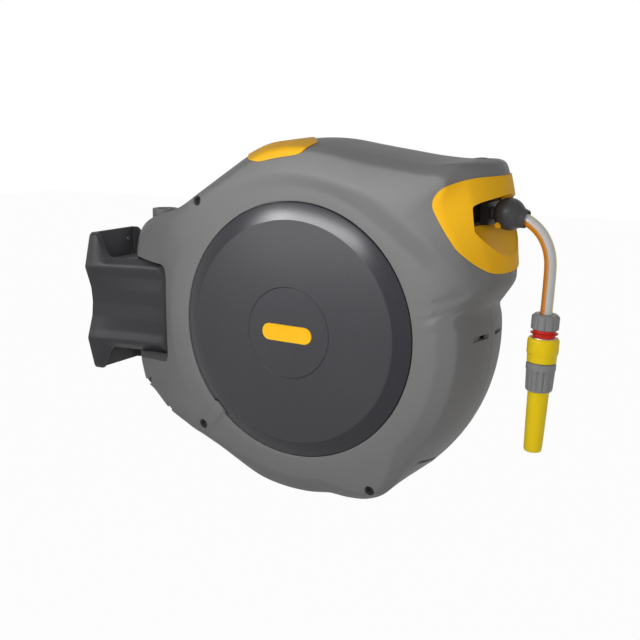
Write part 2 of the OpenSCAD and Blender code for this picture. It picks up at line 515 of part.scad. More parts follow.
// Cross screw with its pinion, then the carriage it drives.
module cross_screw() color(steel) translate([axis_x + cross_x, 0, cross_z]) difference() {
  union() {
    rod_y(cross_d / 2, 3 - half_w, half_w - 3);
    rod_y(journal_r, -journal_y, journal_y);
  }
  for (i = [-7:7]) translate([0, i * (half_w - 11) / 7, 0]) rotate([-90, 0, 0]) rotate_extrude($fn = 48)
    translate([cross_d / 2 + 1, 0]) circle(r = 2.2, $fn = 16);
}
module screw_pinion() color(black) translate([axis_x + cross_x, 0, cross_z]) difference() {
  rotate([0, 180 - mesh_a, 0]) along_y(half_w, half_w + flange_t) polygon(gear(pinion_teeth, gear_m));
  rod_y(journal_r, 0, 100);
}
module guide_rods() color(steel) translate([axis_x, 0, 0])
  for (s = [-1, 1]) rod_y(rod_d / 2, -rod_end, rod_end, rod_x, out_z + s * rod_dz);
module guide_carriage() color(black) translate([axis_x, 0, 0]) difference() {
  union() {
    translate([190, -19, out_z - 33]) cube([14.6, 38, 66]);
    along_y(-12, 12) polygon([[cross_x - 12, cross_z - 10], [cross_x + 10, cross_z - 10],
      [204.6, out_z - 33], [204.6, out_z - 18], [190, out_z - 18], [cross_x - 12, cross_z + 11]]);
  }
  for (s = [-1, 1]) rod_y(rod_d / 2 + play, -30, 30, rod_x, out_z + s * rod_dz);
  rod_y(cross_d / 2 + play, -30, 30, cross_x, cross_z);
  rod_x(hose_r + 0.4, 150, 230, out_z);
}
module guide_front() color(black) translate([axis_x, 0, out_z]) difference() {
  union() {
    rod_x(hose_r + 2.4, 204.6, 214);
    translate([213.2, -front_w, -13.2]) cube([9.8, 2 * front_w, 26.4]);
  }
  rod_x(hose_r + 0.4, 190, 230);
}
BALL = [243, 0, out_z - 0.6];
module ball_half(s) translate([axis_x, 0, 0]) translate(BALL) difference() {
  intersection() {
    union() {
      sphere(r = ball_d / 2, $fn = 64);
      rotate([0, 104, 0]) cylinder(r = hose_r + 4.5, h = ball_d / 2 + 3);
    }
    translate([-40, s > 0 ? seam / 2 : -40, -40]) cube([80, 40 - seam / 2, 80]);
    translate([-19.6, -40, -40]) cube([80, 80, 80]);
  }
  translate([-60, 0, 0.6]) rotate([0, 90, 0]) cylinder(r = hose_r + 0.5, h = 60);
  rotate([0, 104, 0]) translate([0, 0, -2]) cylinder(r1 = hose_r + 0.8, r2 = hose_r + 2.9, h = 30);
  translate([-9.5, 0, -12.5]) rod_y(2, -40, 40);
  translate([-9.5, 0, -12.5]) rod_y(3.8, -40, -10);
}
module ball_near() color(grey) ball_half(-1);
module ball_far() color(grey) ball_half(1);
module ball_screw() color(amber) translate([axis_x, 0, 0]) translate(BALL)
  translate([-9.5, 0, -12.5]) {
    rod_y(3.6, -12.8, -10.1);
    rod_y(1.9, -10.2, 9);
  }

// Hose centreline from the drum top through the ball to the fitting. The length up to
// the ball is held by the guide, and the rest hangs free.
PATH = [[2, 152.6], [50, 152], [100, 151.4], [150, 150.6], [190, 150], [215, 150], [239, 149.6],
  [249, 148.7], [258, 146.2], [267, 142], [275, 136.4], [282, 129.4], [287.4, 121.4],
  [291.2, 112.6], [293.6, 103.4], [294.6, 94], [294.6, 84], [294.2, 74], [293.7, 64],
  [293.1, 54], [292.5, 44], [291.9, 34], [291.3, 24], [290.7, 13.6]];
exit_i = 8;
module tube(i0, i1) {
  m = 12;
  n = i1 - i0 + 1;
  pts = [for (i = [i0:i1]) let (a = PATH[max(i - 1, 0)], b = PATH[min(i + 1, len(PATH) - 1)],
    t = (b - a) / norm(b - a), c = PATH[i]) for (j = [0:m - 1])
      let (u = hose_r * cos(j * 30), v = hose_r * sin(j * 30))
      [axis_x + c[0] - t[1] * u, v, c[1] + out_z - 150 + t[0] * u]];
  sides = [for (i = [0:n - 2], j = [0:m - 1]) let (a = i * m + j, b = i * m + (j + 1) % m,
    c = (i + 1) * m + (j + 1) % m, d = (i + 1) * m + j) each [[a, b, c], [a, c, d]]];
  polyhedron(pts, concat([[for (j = [m - 1:-1:0]) j]], sides,
    [[for (j = [0:m - 1]) (n - 1) * m + j]]), convexity = 6);
}
module hose_lead() color([0.62, 0.61, 0.58]) tube(0, exit_i);
module hose() color([0.62, 0.61, 0.58]) tube(exit_i, len(PATH) - 1);

// Fitting and nozzle, drawn hanging straight down and tilted as one.
tilt = 3.5;
module fitting() translate([axis_x + 292, 0, out_z - 115]) rotate([0, tilt, 0]) children();
module hose_nut() color(grey) fitting() difference() {
  rotate_extrude() polygon([[hose_r + 0.3, 0], [13.5, 0], [16.6, -3], [16.6, -18],
    [hose_r + 3.2, -18], [hose_r + 3.2, -4], [hose_r + 0.3, -4]]);
  for (a = [0:36:324]) rotate([0, 0, a]) translate([17.6, 0, -30]) cylinder(r = 2, h = 40);
}
module connector_body() color(grey) fitting() rotate_extrude()
  polygon([[hose_r + 0.3, -4.2], [hose_r + 3, -4.2], [hose_r + 3, -18.2], [12.6, -18.2],
    [12.6, -47], [9.2, -47], [9.2, -22], [hose_r + 0.3, -22]]);
module grip_ring() color(red) fitting() rotate_extrude()
  polygon([[12.8, -18.4], [13.4, -18.4], [13.4, -21.4], [16.6, -22.6], [16.6, -23.6],
    [13.4, -24.8], [13.4, -27.8], [12.8, -27.8]]);
module collar_spring() color(steel) fitting() for (i = [0:4])
  translate([0, 0, -28.7 - i * 2.75]) rotate_extrude() translate([14.1, 0]) circle(r = 0.7, $fn = 16);
module release_collar() color(lemon) fitting() difference() {
  rotate_extrude() polygon([[15.3, -28.4], [16.8, -28.4], [collar_d / 2, -31], [collar_d / 2, -46],
    [17.6, -50], [17.6, -57.6], [12.6 + play, -57.6], [12.6 + play, -40.5], [15.3, -40.5]]);
  for (s = [-1, 1]) translate([s * (collar_d / 2 + 5.4), 0, -38.5]) scale([1, 1.1, 1.15])
    sphere(r = 6.6, $fn = 32);
}
module nozzle_body() color(grey) fitting() difference() {
  rotate_extrude() polygon([[4, -30], [9.1, -30], [9.1, -57], [8, -57.8], [15.6, -58.2],
    [nut_d / 2, -60], [nut_d / 2, -67], [17.3, -68.5], [16.3, -90.8], [15.2, -93.2],
    [13.4, -93.2], [13.4, -76], [4, -76]]);
  for (a = [0:360 / 13:359]) rotate([0, 0, a]) translate([nut_d / 2 - 0.2, 0, -95])
    cylinder(r = 2.1, h = 26);
}
module nozzle_tip() color(lemon) fitting() rotate_extrude()
  polygon([[5, -76.3], [13.4 - play, -76.3], [13.4 - play, -94], [12.6, -96], [12.4, -118],
    [11.6, -148], [11, -166], [10.4, -169], [8.4, -169], [6, -150], [5, -120]]);

wall_bracket();
bush_upper();
bush_lower();
pivot_pin();
casing_near();
casing_far();
cover_near();
cover_far();
badge();
handle_cap();
outlet_bezel();
outlet_throat();
slot_liner();
casing_screws();
spindle();
inlet_elbow();
inlet_tap();
spring_case();
power_spring();
guide_rods();
pawl_pin();
pawl();
drum_hub();
flange_near();
flange_far();
hose_pack();
ratchet_ring();
cross_screw();
screw_pinion();
guide_carriage();
guide_front();
ball_near();
ball_far();
ball_screw();
hose_lead();
hose();
hose_nut();
connector_body();
grip_ring();
collar_spring();
release_collar();
nozzle_body();
nozzle_tip();
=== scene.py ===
# %% [markdown]
# # A retractable hose reel
# The real object is a wall reel: two moulded casing halves that swing on a bracket, a tinted round
# cover on each side, yellow trim, and a short end of hose with a click-on nozzle. The frame brings
# every construction piece at its real size. This script dresses them, one piece or finish a cell.

# %% Load the frame
import math

import bmesh
import bpy
import numpy as np
from mathutils import Matrix, Vector


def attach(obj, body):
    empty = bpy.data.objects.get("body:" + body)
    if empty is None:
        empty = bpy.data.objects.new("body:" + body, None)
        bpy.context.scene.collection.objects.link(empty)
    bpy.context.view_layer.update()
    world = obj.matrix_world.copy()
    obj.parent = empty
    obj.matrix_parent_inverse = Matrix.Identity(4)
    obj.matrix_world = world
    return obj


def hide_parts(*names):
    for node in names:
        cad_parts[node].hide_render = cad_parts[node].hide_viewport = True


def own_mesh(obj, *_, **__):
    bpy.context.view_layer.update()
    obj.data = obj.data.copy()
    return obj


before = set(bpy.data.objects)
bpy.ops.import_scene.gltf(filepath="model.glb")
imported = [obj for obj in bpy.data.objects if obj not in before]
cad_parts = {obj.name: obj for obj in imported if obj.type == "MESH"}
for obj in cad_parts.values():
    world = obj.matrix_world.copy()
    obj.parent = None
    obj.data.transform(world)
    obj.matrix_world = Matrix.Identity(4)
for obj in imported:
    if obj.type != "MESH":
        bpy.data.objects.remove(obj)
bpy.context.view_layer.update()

# %% [markdown]
# ## Units and places
# Shapes are worked out in millimetres about the drum axis, as a designer would draw them: X towards
# the outlet, Y into the picture, Z up. One function turns them into metres in the frame.

# %% Places shared by several pieces
AXIS_X = 358.0  # the drum axis from the wall
PIVOT_X = -262.0  # the pivot pin
PIVOT = (PIVOT_X, 0.0, 0.0)
OUT_Z = 150.0  # the middle of the outlet's slot
COVER_R = 160.0  # radius of the round cover
FACE_H = 88.0  # half depth of the casing's flat face
HOSE_R = 7.25  # radius of the hose
BALL = (243.0, 0.0, 149.4)  # the middle of the hose's ball


def metres(points):
    """Millimetres about the drum axis to metres from the wall: shift along X, divide by 1000."""
    return (np.asarray(points, float) + (AXIS_X, 0.0, 0.0)) / 1000.0


# %% [markdown]
# ## Camera
# The reference view is about 30 degrees round to the outlet side and 11 degrees up, with a lens a
# little longer than normal. Only the camera's place, its turn and its lens are set.

# %% The camera
VIEW_ROUND = math.radians(29.57)
VIEW_UP = math.radians(11.25)
CAMERA_AT = Vector((1.04409, -1.23195, 0.27934))
LENS = 61.875

camera = bpy.data.objects.new("camera", bpy.data.cameras.new("camera"))
bpy.context.scene.collection.objects.link(camera)
camera.data.lens = LENS
camera.data.sensor_width = 36.0
camera.data.clip_end = 30.0
back = Vector((math.sin(VIEW_ROUND) * math.cos(VIEW_UP),
               -math.cos(VIEW_ROUND) * math.cos(VIEW_UP), math.sin(VIEW_UP)))
right = Vector((math.cos(VIEW_ROUND), math.sin(VIEW_ROUND), 0.0))
up = back.cross(right)
camera.matrix_world = Matrix.Translation(CAMERA_AT) @ Matrix((right, up, back)).transposed().to_4x4()
bpy.context.scene.camera = camera
print("camera at", tuple(round(v, 3) for v in CAMERA_AT))

# %% [markdown]
# ## Meshes from arrays
# A surface is a grid of points, worked out as whole arrays. These helpers turn a grid into a mesh,
# close its seams, cut it with another mesh, and shade it smooth except at its real edges.


# %% Mesh helpers
MERGE = 0.00001  # points closer than this, in metres, become one
CORE = 0.01  # in millimetres, the closest that a turned profile comes to its axis


def new_object(name, mesh):
    """Link a mesh to the scene as an object at the origin."""
    made = bpy.data.objects.new(name, mesh)
    bpy.context.scene.collection.objects.link(made)
    return made


def grid_object(name, points, close_u=False, close_v=False, caps=False):
    """A mesh from points[u, v] in millimetres. Each cell of the grid is one four-sided face. close_u
    and close_v join the last row or column to the first, and caps closes both ends of u."""
    nu, nv = points.shape[:2]
    iu = np.arange(nu if close_u else nu - 1)
    iv = np.arange(nv if close_v else nv - 1)
    a = (iu[:, None] * nv + iv).ravel()
    b = (iu[:, None] * nv + (iv + 1) % nv).ravel()
    c = (((iu + 1) % nu)[:, None] * nv + (iv + 1) % nv).ravel()
    d = (((iu + 1) % nu)[:, None] * nv + iv).ravel()
    faces = np.stack([a, b, c, d], axis=1).tolist()
    if caps:
        faces.append(list(range(nv))[::-1])
        faces.append(list(range((nu - 1) * nv, nu * nv)))
    mesh = bpy.data.meshes.new(name)
    mesh.from_pydata(metres(points.reshape(-1, 3)).tolist(), [], faces)
    return new_object(name, mesh)


def tidy(piece, angle=32.0):
    """Merge doubled points, point every face outwards and shade smooth but for edges over angle."""
    bm = bmesh.new()
    bm.from_mesh(piece.data)
    bmesh.ops.remove_doubles(bm, verts=bm.verts, dist=MERGE)
    bmesh.ops.dissolve_degenerate(bm, edges=bm.edges, dist=MERGE / 2)
    bmesh.ops.recalc_face_normals(bm, faces=bm.faces)
    bm.to_mesh(piece.data)
    bm.free()
    piece.data.shade_smooth()
    piece.data.set_sharp_from_angle(angle=math.radians(angle))
    return piece


def loft(name, rings, angle=32.0):
    """A solid through rings of points, each ring closed and the first and last one capped."""
    return tidy(grid_object(name, np.asarray(rings, float), close_v=True, caps=True), angle)


def bake(piece):
    """Apply every modifier of a piece to its mesh."""
    graph = bpy.context.evaluated_depsgraph_get()
    mesh = bpy.data.meshes.new_from_object(piece.evaluated_get(graph))
    piece.modifiers.clear()
    piece.data = mesh
    return piece


def combine(piece, tools, operation="DIFFERENCE"):
    """Cut, join or keep what is shared with each tool mesh, then remove the tools."""
    for tool in tools:
        step = piece.modifiers.new("combine", "BOOLEAN")
        step.operation = operation
        step.solver = "EXACT"
        step.object = tool
    bake(piece)
    for tool in tools:
        bpy.data.objects.remove(tool)
    return piece


def soften(piece, width):
    """A small rounded edge, width in millimetres, where faces meet at more than 38 degrees."""
    edge = piece.modifiers.new("soften", "BEVEL")
    edge.width = width / 1000.0
    edge.segments = 2
    edge.limit_method = "ANGLE"
    edge.angle_limit = math.radians(38.0)
    return bake(piece)


def rounded(outline, radius, steps=5):
    """A closed outline with each corner swapped for a curve. The curve starts and ends radius from
    the corner, or just under half of the side's length, and is pulled towards the corner."""
    p = np.asarray(outline, float)
    r = np.broadcast_to(np.asarray(radius, float), len(p))[:, None]
    before, after = np.roll(p, 1, axis=0) - p, np.roll(p, -1, axis=0) - p
    lb = np.linalg.norm(before, axis=1, keepdims=True)
    la = np.linalg.norm(after, axis=1, keepdims=True)
    start = p + before / lb * np.minimum(r, 0.49 * lb)
    end = p + after / la * np.minimum(r, 0.49 * la)
    t = np.linspace(0.0, 1.0, steps)[None, :, None]
    curve = (1 - t) ** 2 * start[:, None] + 2 * t * (1 - t) * p[:, None] + t ** 2 * end[:, None]
    return curve.reshape(-1, p.shape[1])


def prism_y(name, outline, y0, y1):
    """An outline of X and Z pushed along Y from y0 to y1."""
    p = np.asarray(outline, float)
    rows = [np.stack([p[:, 0], np.full(len(p), y), p[:, 1]], axis=1) for y in (y0, y1)]
    return loft(name, rows)


def prism_z(name, outline, z0, z1):
    """An outline of X and Y pushed along Z from z0 to z1."""
    p = np.asarray(outline, float)
    return loft(name, [np.column_stack([p, np.full(len(p), z)]) for z in (z0, z1)])


def turned(name, profile, centre=(0, 0, 0), axis="Z", sides=96, bite=None, carry=None):
    """A closed profile of (radius, place along the axis) turned once round the axis. bite is a
    function of the angle that gives 0 to 1, and a third number in the profile says how far the radius
    gives way where it is 1. carry moves the points when the axis isn't X, Y or Z."""
    p = np.asarray(profile, float)
    angle = np.linspace(0.0, 2 * math.pi, sides, endpoint=False)[:, None]
    r = np.broadcast_to(p[:, 0], (sides, len(p))) - (0.0 if bite is None else bite(angle) * p[:, 2])
    along = np.broadcast_to(p[:, 1], r.shape)
    c, s = r * np.cos(angle), r * np.sin(angle)
    order = {"Z": (c, s, along), "Y": (s, along, c), "X": (along, c, s)}[axis]
    points = np.stack(order, axis=2) + np.asarray(centre, float)
    points = points if carry is None else carry(points)
    return tidy(grid_object(name, points, close_u=True, close_v=True))


def plug(name, radius, low, high, centre=(0, 0, 0), axis="Z", sides=64):
    """A plain round tool from low to high along an axis."""
    return turned(name, [(CORE, low), (radius, low), (radius, high), (CORE, high)], centre, axis,
                  sides)


def tilted(p, angle, at):
    """Points on an upright axis turned about Y by an angle, top towards X, then moved."""
    x = p[..., 0] * math.cos(angle) + p[..., 2] * math.sin(angle)
    z = p[..., 2] * math.cos(angle) - p[..., 0] * math.sin(angle)
    return np.stack([x, p[..., 1], z], axis=-1) + np.asarray(at)


def finish(piece, body, material, slot, *nodes):
    """Give a piece its material, the body it rides on and the construction nodes it stands for."""
    piece.data.materials.clear()
    piece.data.materials.append(material)
    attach(piece, body)
    if nodes:
        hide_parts(*nodes)
    print(f"{piece.name}: {len(piece.data.polygons)} faces")
    return piece


# %% [markdown]
# ## Shader maths
# A material is a small tree of nodes, and so is the world. One class wraps a socket so that plain
# Python arithmetic adds the Math nodes, and one method adds any other node.


# %% A socket that can be used in sums
class Level:
    """A number that varies over a surface. Sums with it add Math nodes to its tree."""

    def __init__(self, shading, socket):
        self.shading, self.socket = shading, socket

    def out(self, key=0):
        """Another output of the same node, by name or number."""
        return Level(self.shading, self.socket.node.outputs[key])

    def math(self, operation, *terms):
        """A Math node on these terms, each a level or a plain number."""
        links = dict(enumerate(terms))
        return self.shading.node("ShaderNodeMath", {"operation": operation}, links)

    def __add__(self, other):
        return self.math("ADD", self, other)

    def __sub__(self, other):
        return self.math("SUBTRACT", self, other)

    def __rsub__(self, other):
        return self.math("SUBTRACT", other, self)

    def __mul__(self, other):
        return self.math("MULTIPLY", self, other)

    def __pow__(self, other):
        return self.math("POWER", self, other)

    __radd__, __rmul__ = __add__, __mul__


class Shading:
    """The nodes of a material or of the world, under construction."""

    def __init__(self, tree):
        self.tree = tree

    def node(self, kind, settings=None, links=None):
        """Any node: its settings first, then the values or links of its sockets. Gives its first
        output."""
        node = self.tree.nodes.new(kind)
        for key, value in (settings or {}).items():
            setattr(node, key, value)
        for key, value in (links or {}).items():
            if isinstance(value, Level):
                self.tree.links.new(value.socket, node.inputs[key])
            else:
                node.inputs[key].default_value = value
        return Level(self, node.outputs[0])

    def seen(self):
        """1 to rays from the camera, in gloss and through glass, and 0 to diffuse rays."""
        rays = self.node("ShaderNodeLightPath")
        return (rays.out("Is Camera Ray") + rays.out("Is Glossy Ray")
                + rays.out("Is Transmission Ray"))


class Paint(Shading):
    """A material: a Principled shader with constants set on its sockets."""

    def __init__(self, name, **constants):
        self.material = bpy.data.materials.new(name)
        self.material.use_nodes = True
        super().__init__(self.material.node_tree)
        self.shader = self.tree.nodes["Principled BSDF"]
        for key, value in constants.items():
            self.shader.inputs[key.replace("_", " ")].default_value = value
        self.spot = self.node("ShaderNodeTexCoord").out("Object")

    def noise(self, scale, detail=2.0, rough=0.5, at=None):
        """Cloudy noise on Object coordinates, with scale in cycles per metre."""
        links = {"Vector": at or self.spot, "Scale": scale, "Detail": detail, "Roughness": rough}
        return self.node("ShaderNodeTexNoise", {}, links)

    def blend(self, mask, low, high):
        """A colour between low and high by a mask. Each is a colour or another blend's result."""
        tint = {k: (*v, 1.0) if isinstance(v, tuple) else v for k, v in ((6, low), (7, high))}
        return self.node("ShaderNodeMix", {"data_type": "RGBA"}, {0: mask, **tint}).out(2)

    def step(self, value, start, end):
        """0 below start, 1 above end, and an eased step between."""
        links = {"Value": value, "From Min": start, "From Max": end}
        return self.node("ShaderNodeMapRange", {"interpolation_type": "SMOOTHSTEP"}, links)

    def bump(self, height, strength, distance):
        """Feed a height to the shader's Normal through a Bump node, distance in metres."""
        links = {"Height": height, "Strength": strength, "Distance": distance}
        self.feed(Normal=self.node("ShaderNodeBump", {}, links))

    def feed(self, **sockets):
        """Link levels to the shader's sockets, with _ for a space in the name."""
        for key, value in sockets.items():
            self.tree.links.new(value.socket, self.shader.inputs[key.replace("_", " ")])


# %% [markdown]
# ## The moulded plastics
# Moulded housings have a fine spark-eroded grain. Close up it scatters the light, and from a step
# away it only makes the highlight broad. Two noises do it: one of about half a millimetre for the
# grain's height and gloss, and a cloud of some centimetres for the slight change of shade that every
# large moulding has. A third noise scatters light scuffs, paler spots of the kind that hands and
# walls rub.


# %% Moulded plastic
GRAIN_HIGH = 0.00004  # in metres
GRAIN_SCALE = 1500.0  # cycles per metre


def moulded(name, colour, rough=0.5, cloud=0.06, scuff=0.12, shine=0.15):
    """Plastic with a moulded grain: colour, roughness, and share of shade change. scuff is how much
    paler rubbed spots are, and shine how much light the skin mirrors."""
    paint = Paint(name, Specular_IOR_Level=shine)
    grit = paint.noise(GRAIN_SCALE, 2.0, 0.6)
    soft = paint.noise(14.0, 3.0, 0.5)
    worn = paint.step(paint.noise(46.0, 5.0, 0.72), 0.62, 0.8)
    dark = tuple(c * (1 - cloud) for c in colour)
    pale = tuple(min(1.0, c * (1 + cloud)) for c in colour)
    rubbed = tuple(c + (0.6 - c) * 0.18 if c < 0.6 else c for c in colour)
    shade = paint.blend(soft, dark, pale)
    paint.feed(Base_Color=paint.blend(worn * scuff, shade, rubbed))
    paint.feed(Roughness=rough + (grit - 0.5) * 0.12 + worn * 0.06)
    paint.bump(grit, 0.35, GRAIN_HIGH)
    return paint.material


CASING = moulded("casing plastic", (0.19, 0.19, 0.19), 0.5)
BRACKET = moulded("bracket plastic", (0.052, 0.052, 0.056), 0.46)
BLACK = moulded("black plastic", (0.018, 0.018, 0.02), 0.42)
TRIM = moulded("trim plastic", (0.98, 0.52, 0.02), 0.46, scuff=0.0, cloud=0.03, shine=0.05)
BALL_GREY = moulded("ball plastic", (0.066, 0.066, 0.07), 0.36, scuff=0.1)
FITTING_GREY = moulded("fitting plastic", (0.26, 0.26, 0.265), 0.38, scuff=0.1)
HOSE_INNER = moulded("hose plastic", (0.10, 0.10, 0.10), 0.4)
RED = moulded("red plastic", (0.62, 0.03, 0.02), 0.34, scuff=0.0, cloud=0.03)
LEMON = moulded("lemon plastic", (0.92, 0.66, 0.01), 0.33, scuff=0.0, cloud=0.03)
print("plastics:", CASING.name, BRACKET.name, TRIM.name)

# %% [markdown]
# ## The tinted cover
# The round cover is polished and tinted so darkly that it hides the drum. It could be glass over a
# dark body, but that would mirror the whole bright studio. So it is one glossy plastic, nearly black
# with a blue cast, and its colour is painted darker on the bevel: painted shade. Faint hairlines from
# wiping cross the gloss.


# %% Smoke tint
BEVEL_PAINTED_SHADE = (0.1385, 0.1405)  # radii in metres between which the shade darkens


def smoke_tint():
    """Glossy, near-black blue plastic. The square of the distance from the drum axis, X squared plus
    Z squared, says where the bevel's painted shade starts. Long thin noise makes wiping marks."""
    paint = Paint("smoke tint", Specular_IOR_Level=0.3)
    cloud = paint.noise(9.0, 2.0, 0.5)
    turn = paint.node("ShaderNodeMapping", {}, {"Vector": paint.spot, "Scale": (2.0, 1.0, 60.0)})
    hair = paint.step(paint.noise(30.0, 4.0, 0.7, turn), 0.58, 0.85)
    dust = paint.step(paint.noise(900.0, 2.0, 0.6), 0.62, 0.85)
    deep = paint.blend(cloud, (0.040, 0.040, 0.046), (0.052, 0.052, 0.058))
    parts = paint.node("ShaderNodeSeparateXYZ", {}, {0: paint.spot})
    away = (parts.out("X") - AXIS_X / 1000) ** 2.0 + parts.out("Z") ** 2.0
    bevel = paint.step(away, BEVEL_PAINTED_SHADE[0] ** 2, BEVEL_PAINTED_SHADE[1] ** 2)
    # Painted shade: the bevel's colour is made darker than the dome's.
    painted_bevel_shade = paint.blend(bevel, deep, (0.022, 0.022, 0.028))
    paint.feed(Base_Color=paint.blend(dust * 0.12, painted_bevel_shade, (0.16, 0.16, 0.17)))
    paint.feed(Roughness=0.26 + hair * 0.08 + dust * 0.08)
    paint.bump(hair, 0.04, 0.00001)
    return paint.material


SMOKE = smoke_tint()
print("tint:", SMOKE.name)

# %% [markdown]
# ## Metal
# Plated rods, springs and the spindle are seen only when pieces are taken apart. They have fine
# drawing lines along Y, the way in which the rods and the spindle lie.


# %% Metal
def drawn_metal(name, colour, rough):
    """Metal with a noise stretched fifty times along Y, which makes its drawing lines."""
    paint = Paint(name, Metallic=1.0)
    lines = paint.node("ShaderNodeMapping", {}, {"Vector": paint.spot, "Scale": (1.0, 0.02, 1.0)})
    streak = paint.noise(2500.0, 2.0, 0.5, lines)
    dark = tuple(c * 0.85 for c in colour)
    paint.feed(Base_Color=paint.blend(streak, dark, colour))
    paint.feed(Roughness=rough + (streak - 0.5) * 0.15)
    paint.bump(streak, 0.15, 0.00002)
    return paint.material


STEEL = drawn_metal("plated steel", (0.56, 0.57, 0.6), 0.32)
print("metal:", STEEL.name)

# %% [markdown]
# ## The hose
# A cord comes first, because its route is fixed by the frame. The hose leaves the guide's ball,
# bends down and hangs to its nut. Its centreline is the route of the construction model, smoothed.
# Round it goes a ring of points, at right angles to the route, and the ring's angle goes into the UV
# map so that the moulded-in stripes can follow the bend.


# %% Rows blended between key rows
def smooth_rows(keys, rows, steps, period=None):
    """Cubic blend through key rows. The slope at a key is the mean of the slopes on both sides, each
    weighted by the other side's width. Gives the new keys and rows, steps to each gap."""
    k, r = np.asarray(keys, float), np.asarray(rows, float)
    if period:
        k = np.concatenate([k[-1:] - period, k, k[:2] + period])
        r = np.concatenate([r[-1:], r, r[:2]])
    else:
        k = np.concatenate([2 * k[:1] - k[1:2], k, 2 * k[-1:] - k[-2:-1]])
        r = np.concatenate([2 * r[:1] - r[1:2], r, 2 * r[-1:] - r[-2:-1]])
    wide = (1,) * (r.ndim - 1)
    h = np.diff(k).reshape(-1, *wide)
    d = np.diff(r, axis=0) / h
    slope = (d[1:] * h[:-1] + d[:-1] * h[1:]) / (h[:-1] + h[1:])
    s = np.linspace(0.0, 1.0, steps, endpoint=False).reshape(1, steps, *wide)
    a, b, w = r[1:-2][:, None], r[2:-1][:, None], h[1:-1][:, None]
    blend = (a * (2 * s ** 3 - 3 * s ** 2 + 1) + b * (3 * s ** 2 - 2 * s ** 3)
             + slope[:-1][:, None] * w * (s ** 3 - 2 * s ** 2 + s)
             + slope[1:][:, None] * w * (s ** 3 - s ** 2))
    places = k[1:-2, None] + (k[2:-1] - k[1:-2])[:, None] * s.reshape(1, steps)
    blend = blend.reshape(-1, *r.shape[1:])
    if period:
        return places.ravel(), blend
    return np.append(places.ravel(), k[-2]), np.concatenate([blend, r[-2:-1]])


# %% The hose's route and its tube
ROUTE = np.array([
    [258, 146.2], [267, 142], [275, 136.4], [282, 129.4], [287.4, 121.4], [291.2, 112.6],
    [293.6, 103.4], [294.6, 94], [294.6, 84], [294.2, 74], [293.7, 64], [293.1, 54],
    [292.5, 44], [291.9, 34], [291.3, 24], [290.7, 13.6]])


def tube(name, route, radius, sides=48):
    """A tube round a route in the plane Y = 0. A ring point is the centre, plus radius times the
    cosine of its angle along the route's normal, plus the sine along Y. UV: length, angle."""
    way = np.gradient(route, axis=0)
    way /= np.linalg.norm(way, axis=1, keepdims=True)
    angle = np.linspace(0.0, 2 * math.pi, sides, endpoint=False)
    c, s = radius * np.cos(angle), radius * np.sin(angle)
    points = np.stack([route[:, :1] - way[:, 1:] * c, np.broadcast_to(s, (len(route), sides)),
                       route[:, 1:] + way[:, :1] * c], axis=2)
    piece = grid_object(name, points, close_v=True, caps=True)
    iu, iv = np.divmod(np.arange((len(route) - 1) * sides), sides)
    corners = np.stack([np.stack([iu + du, (iv + dv) / sides], axis=1)
                        for du, dv in ((0, 0), (0, 1), (1, 1), (1, 0))], axis=1)
    uv = np.zeros((len(piece.data.loops), 2))
    uv[:corners.size // 2] = corners.reshape(-1, 2)
    piece.data.uv_layers.new(name="around").uv.foreach_set("vector", uv.ravel())
    bm = bmesh.new()
    bm.from_mesh(piece.data)
    bmesh.ops.recalc_face_normals(bm, faces=bm.faces)
    bm.to_mesh(piece.data)
    bm.free()
    piece.data.shade_smooth()
    piece.data.set_sharp_from_angle(angle=math.radians(40))
    return piece


def stripe(turn, middle):
    """The cosine of twice the angle from a stripe's middle: 1 there and on the opposite side."""
    twice = (turn - math.radians(middle)) * 2.0
    return twice.math("COSINE", twice)


def hose_wall():
    """Grey hose under a clear skin, with two broad orange stripes and two thin yellow ones."""
    paint = Paint("hose wall", Coat_Weight=0.35, Coat_Roughness=0.12, Specular_IOR_Level=0.5)
    uv = paint.node("ShaderNodeUVMap", {"uv_map": "around"})
    turn = paint.node("ShaderNodeSeparateXYZ", {}, {0: uv}).out("Y") * (2 * math.pi)
    broad, thin = stripe(turn, -123), stripe(turn, -2)
    knit = paint.noise(700.0, 2.0, 0.5)
    grey = paint.blend(knit, (0.48, 0.48, 0.475), (0.6, 0.6, 0.59))
    orange = paint.blend(paint.step(broad, 0.26, 0.36), grey, (0.62, 0.22, 0.012))
    paint.feed(Base_Color=paint.blend(paint.step(thin, 0.93, 0.96), orange, (0.95, 0.72, 0.05)))
    paint.feed(Roughness=0.3 + (knit - 0.5) * 0.1)
    paint.bump(knit, 0.2, 0.00003)
    return paint.material


HOSE_WALL = hose_wall()
line = smooth_rows(np.arange(len(ROUTE)), ROUTE, 5)[1]
hose = finish(tube("hose_tube", line, HOSE_R), "carriage", HOSE_WALL, "hose_wall", "hose")

# %% [markdown]
# ## Nuts, collar and nozzle
# The connector, its collar and the nozzle are turned shapes with moulded grip ribs. A profile of
# radius and height goes once round, and a third number in the profile says how deep the flutes bite
# there. They hang on one line, tilted a little as the hose end is.

# %% Fittings
TILT = math.radians(3.5)  # how far the fitting leans
HANG = (292.0, 0.0, 35.0)  # the zero of its heights


def hung(p):
    """From heights along the fitting's own axis to its place under the hose."""
    return tilted(p, TILT, HANG)


def flutes(count, sharp):
    """How deep a flute is at an angle, 0 to 1: a raised cosine to the power sharp."""
    return lambda angle: (0.5 + 0.5 * np.cos(count * angle)) ** sharp


nut = turned("hose_nut_fluted", rounded([
    (7.6, 0, 0), (13.2, 0, 0), (16.5, -3.2, 0.8), (16.5, -4.4, 1.5), (16.5, -17, 1.5),
    (16.3, -18, 1.3), (10.5, -18, 0), (10.5, -4, 0), (7.6, -4, 0)], 0.6), carry=hung,
    bite=flutes(10, 14), sides=240)
finish(nut, "carriage", FITTING_GREY, "fitting_grey", "hose_nut")

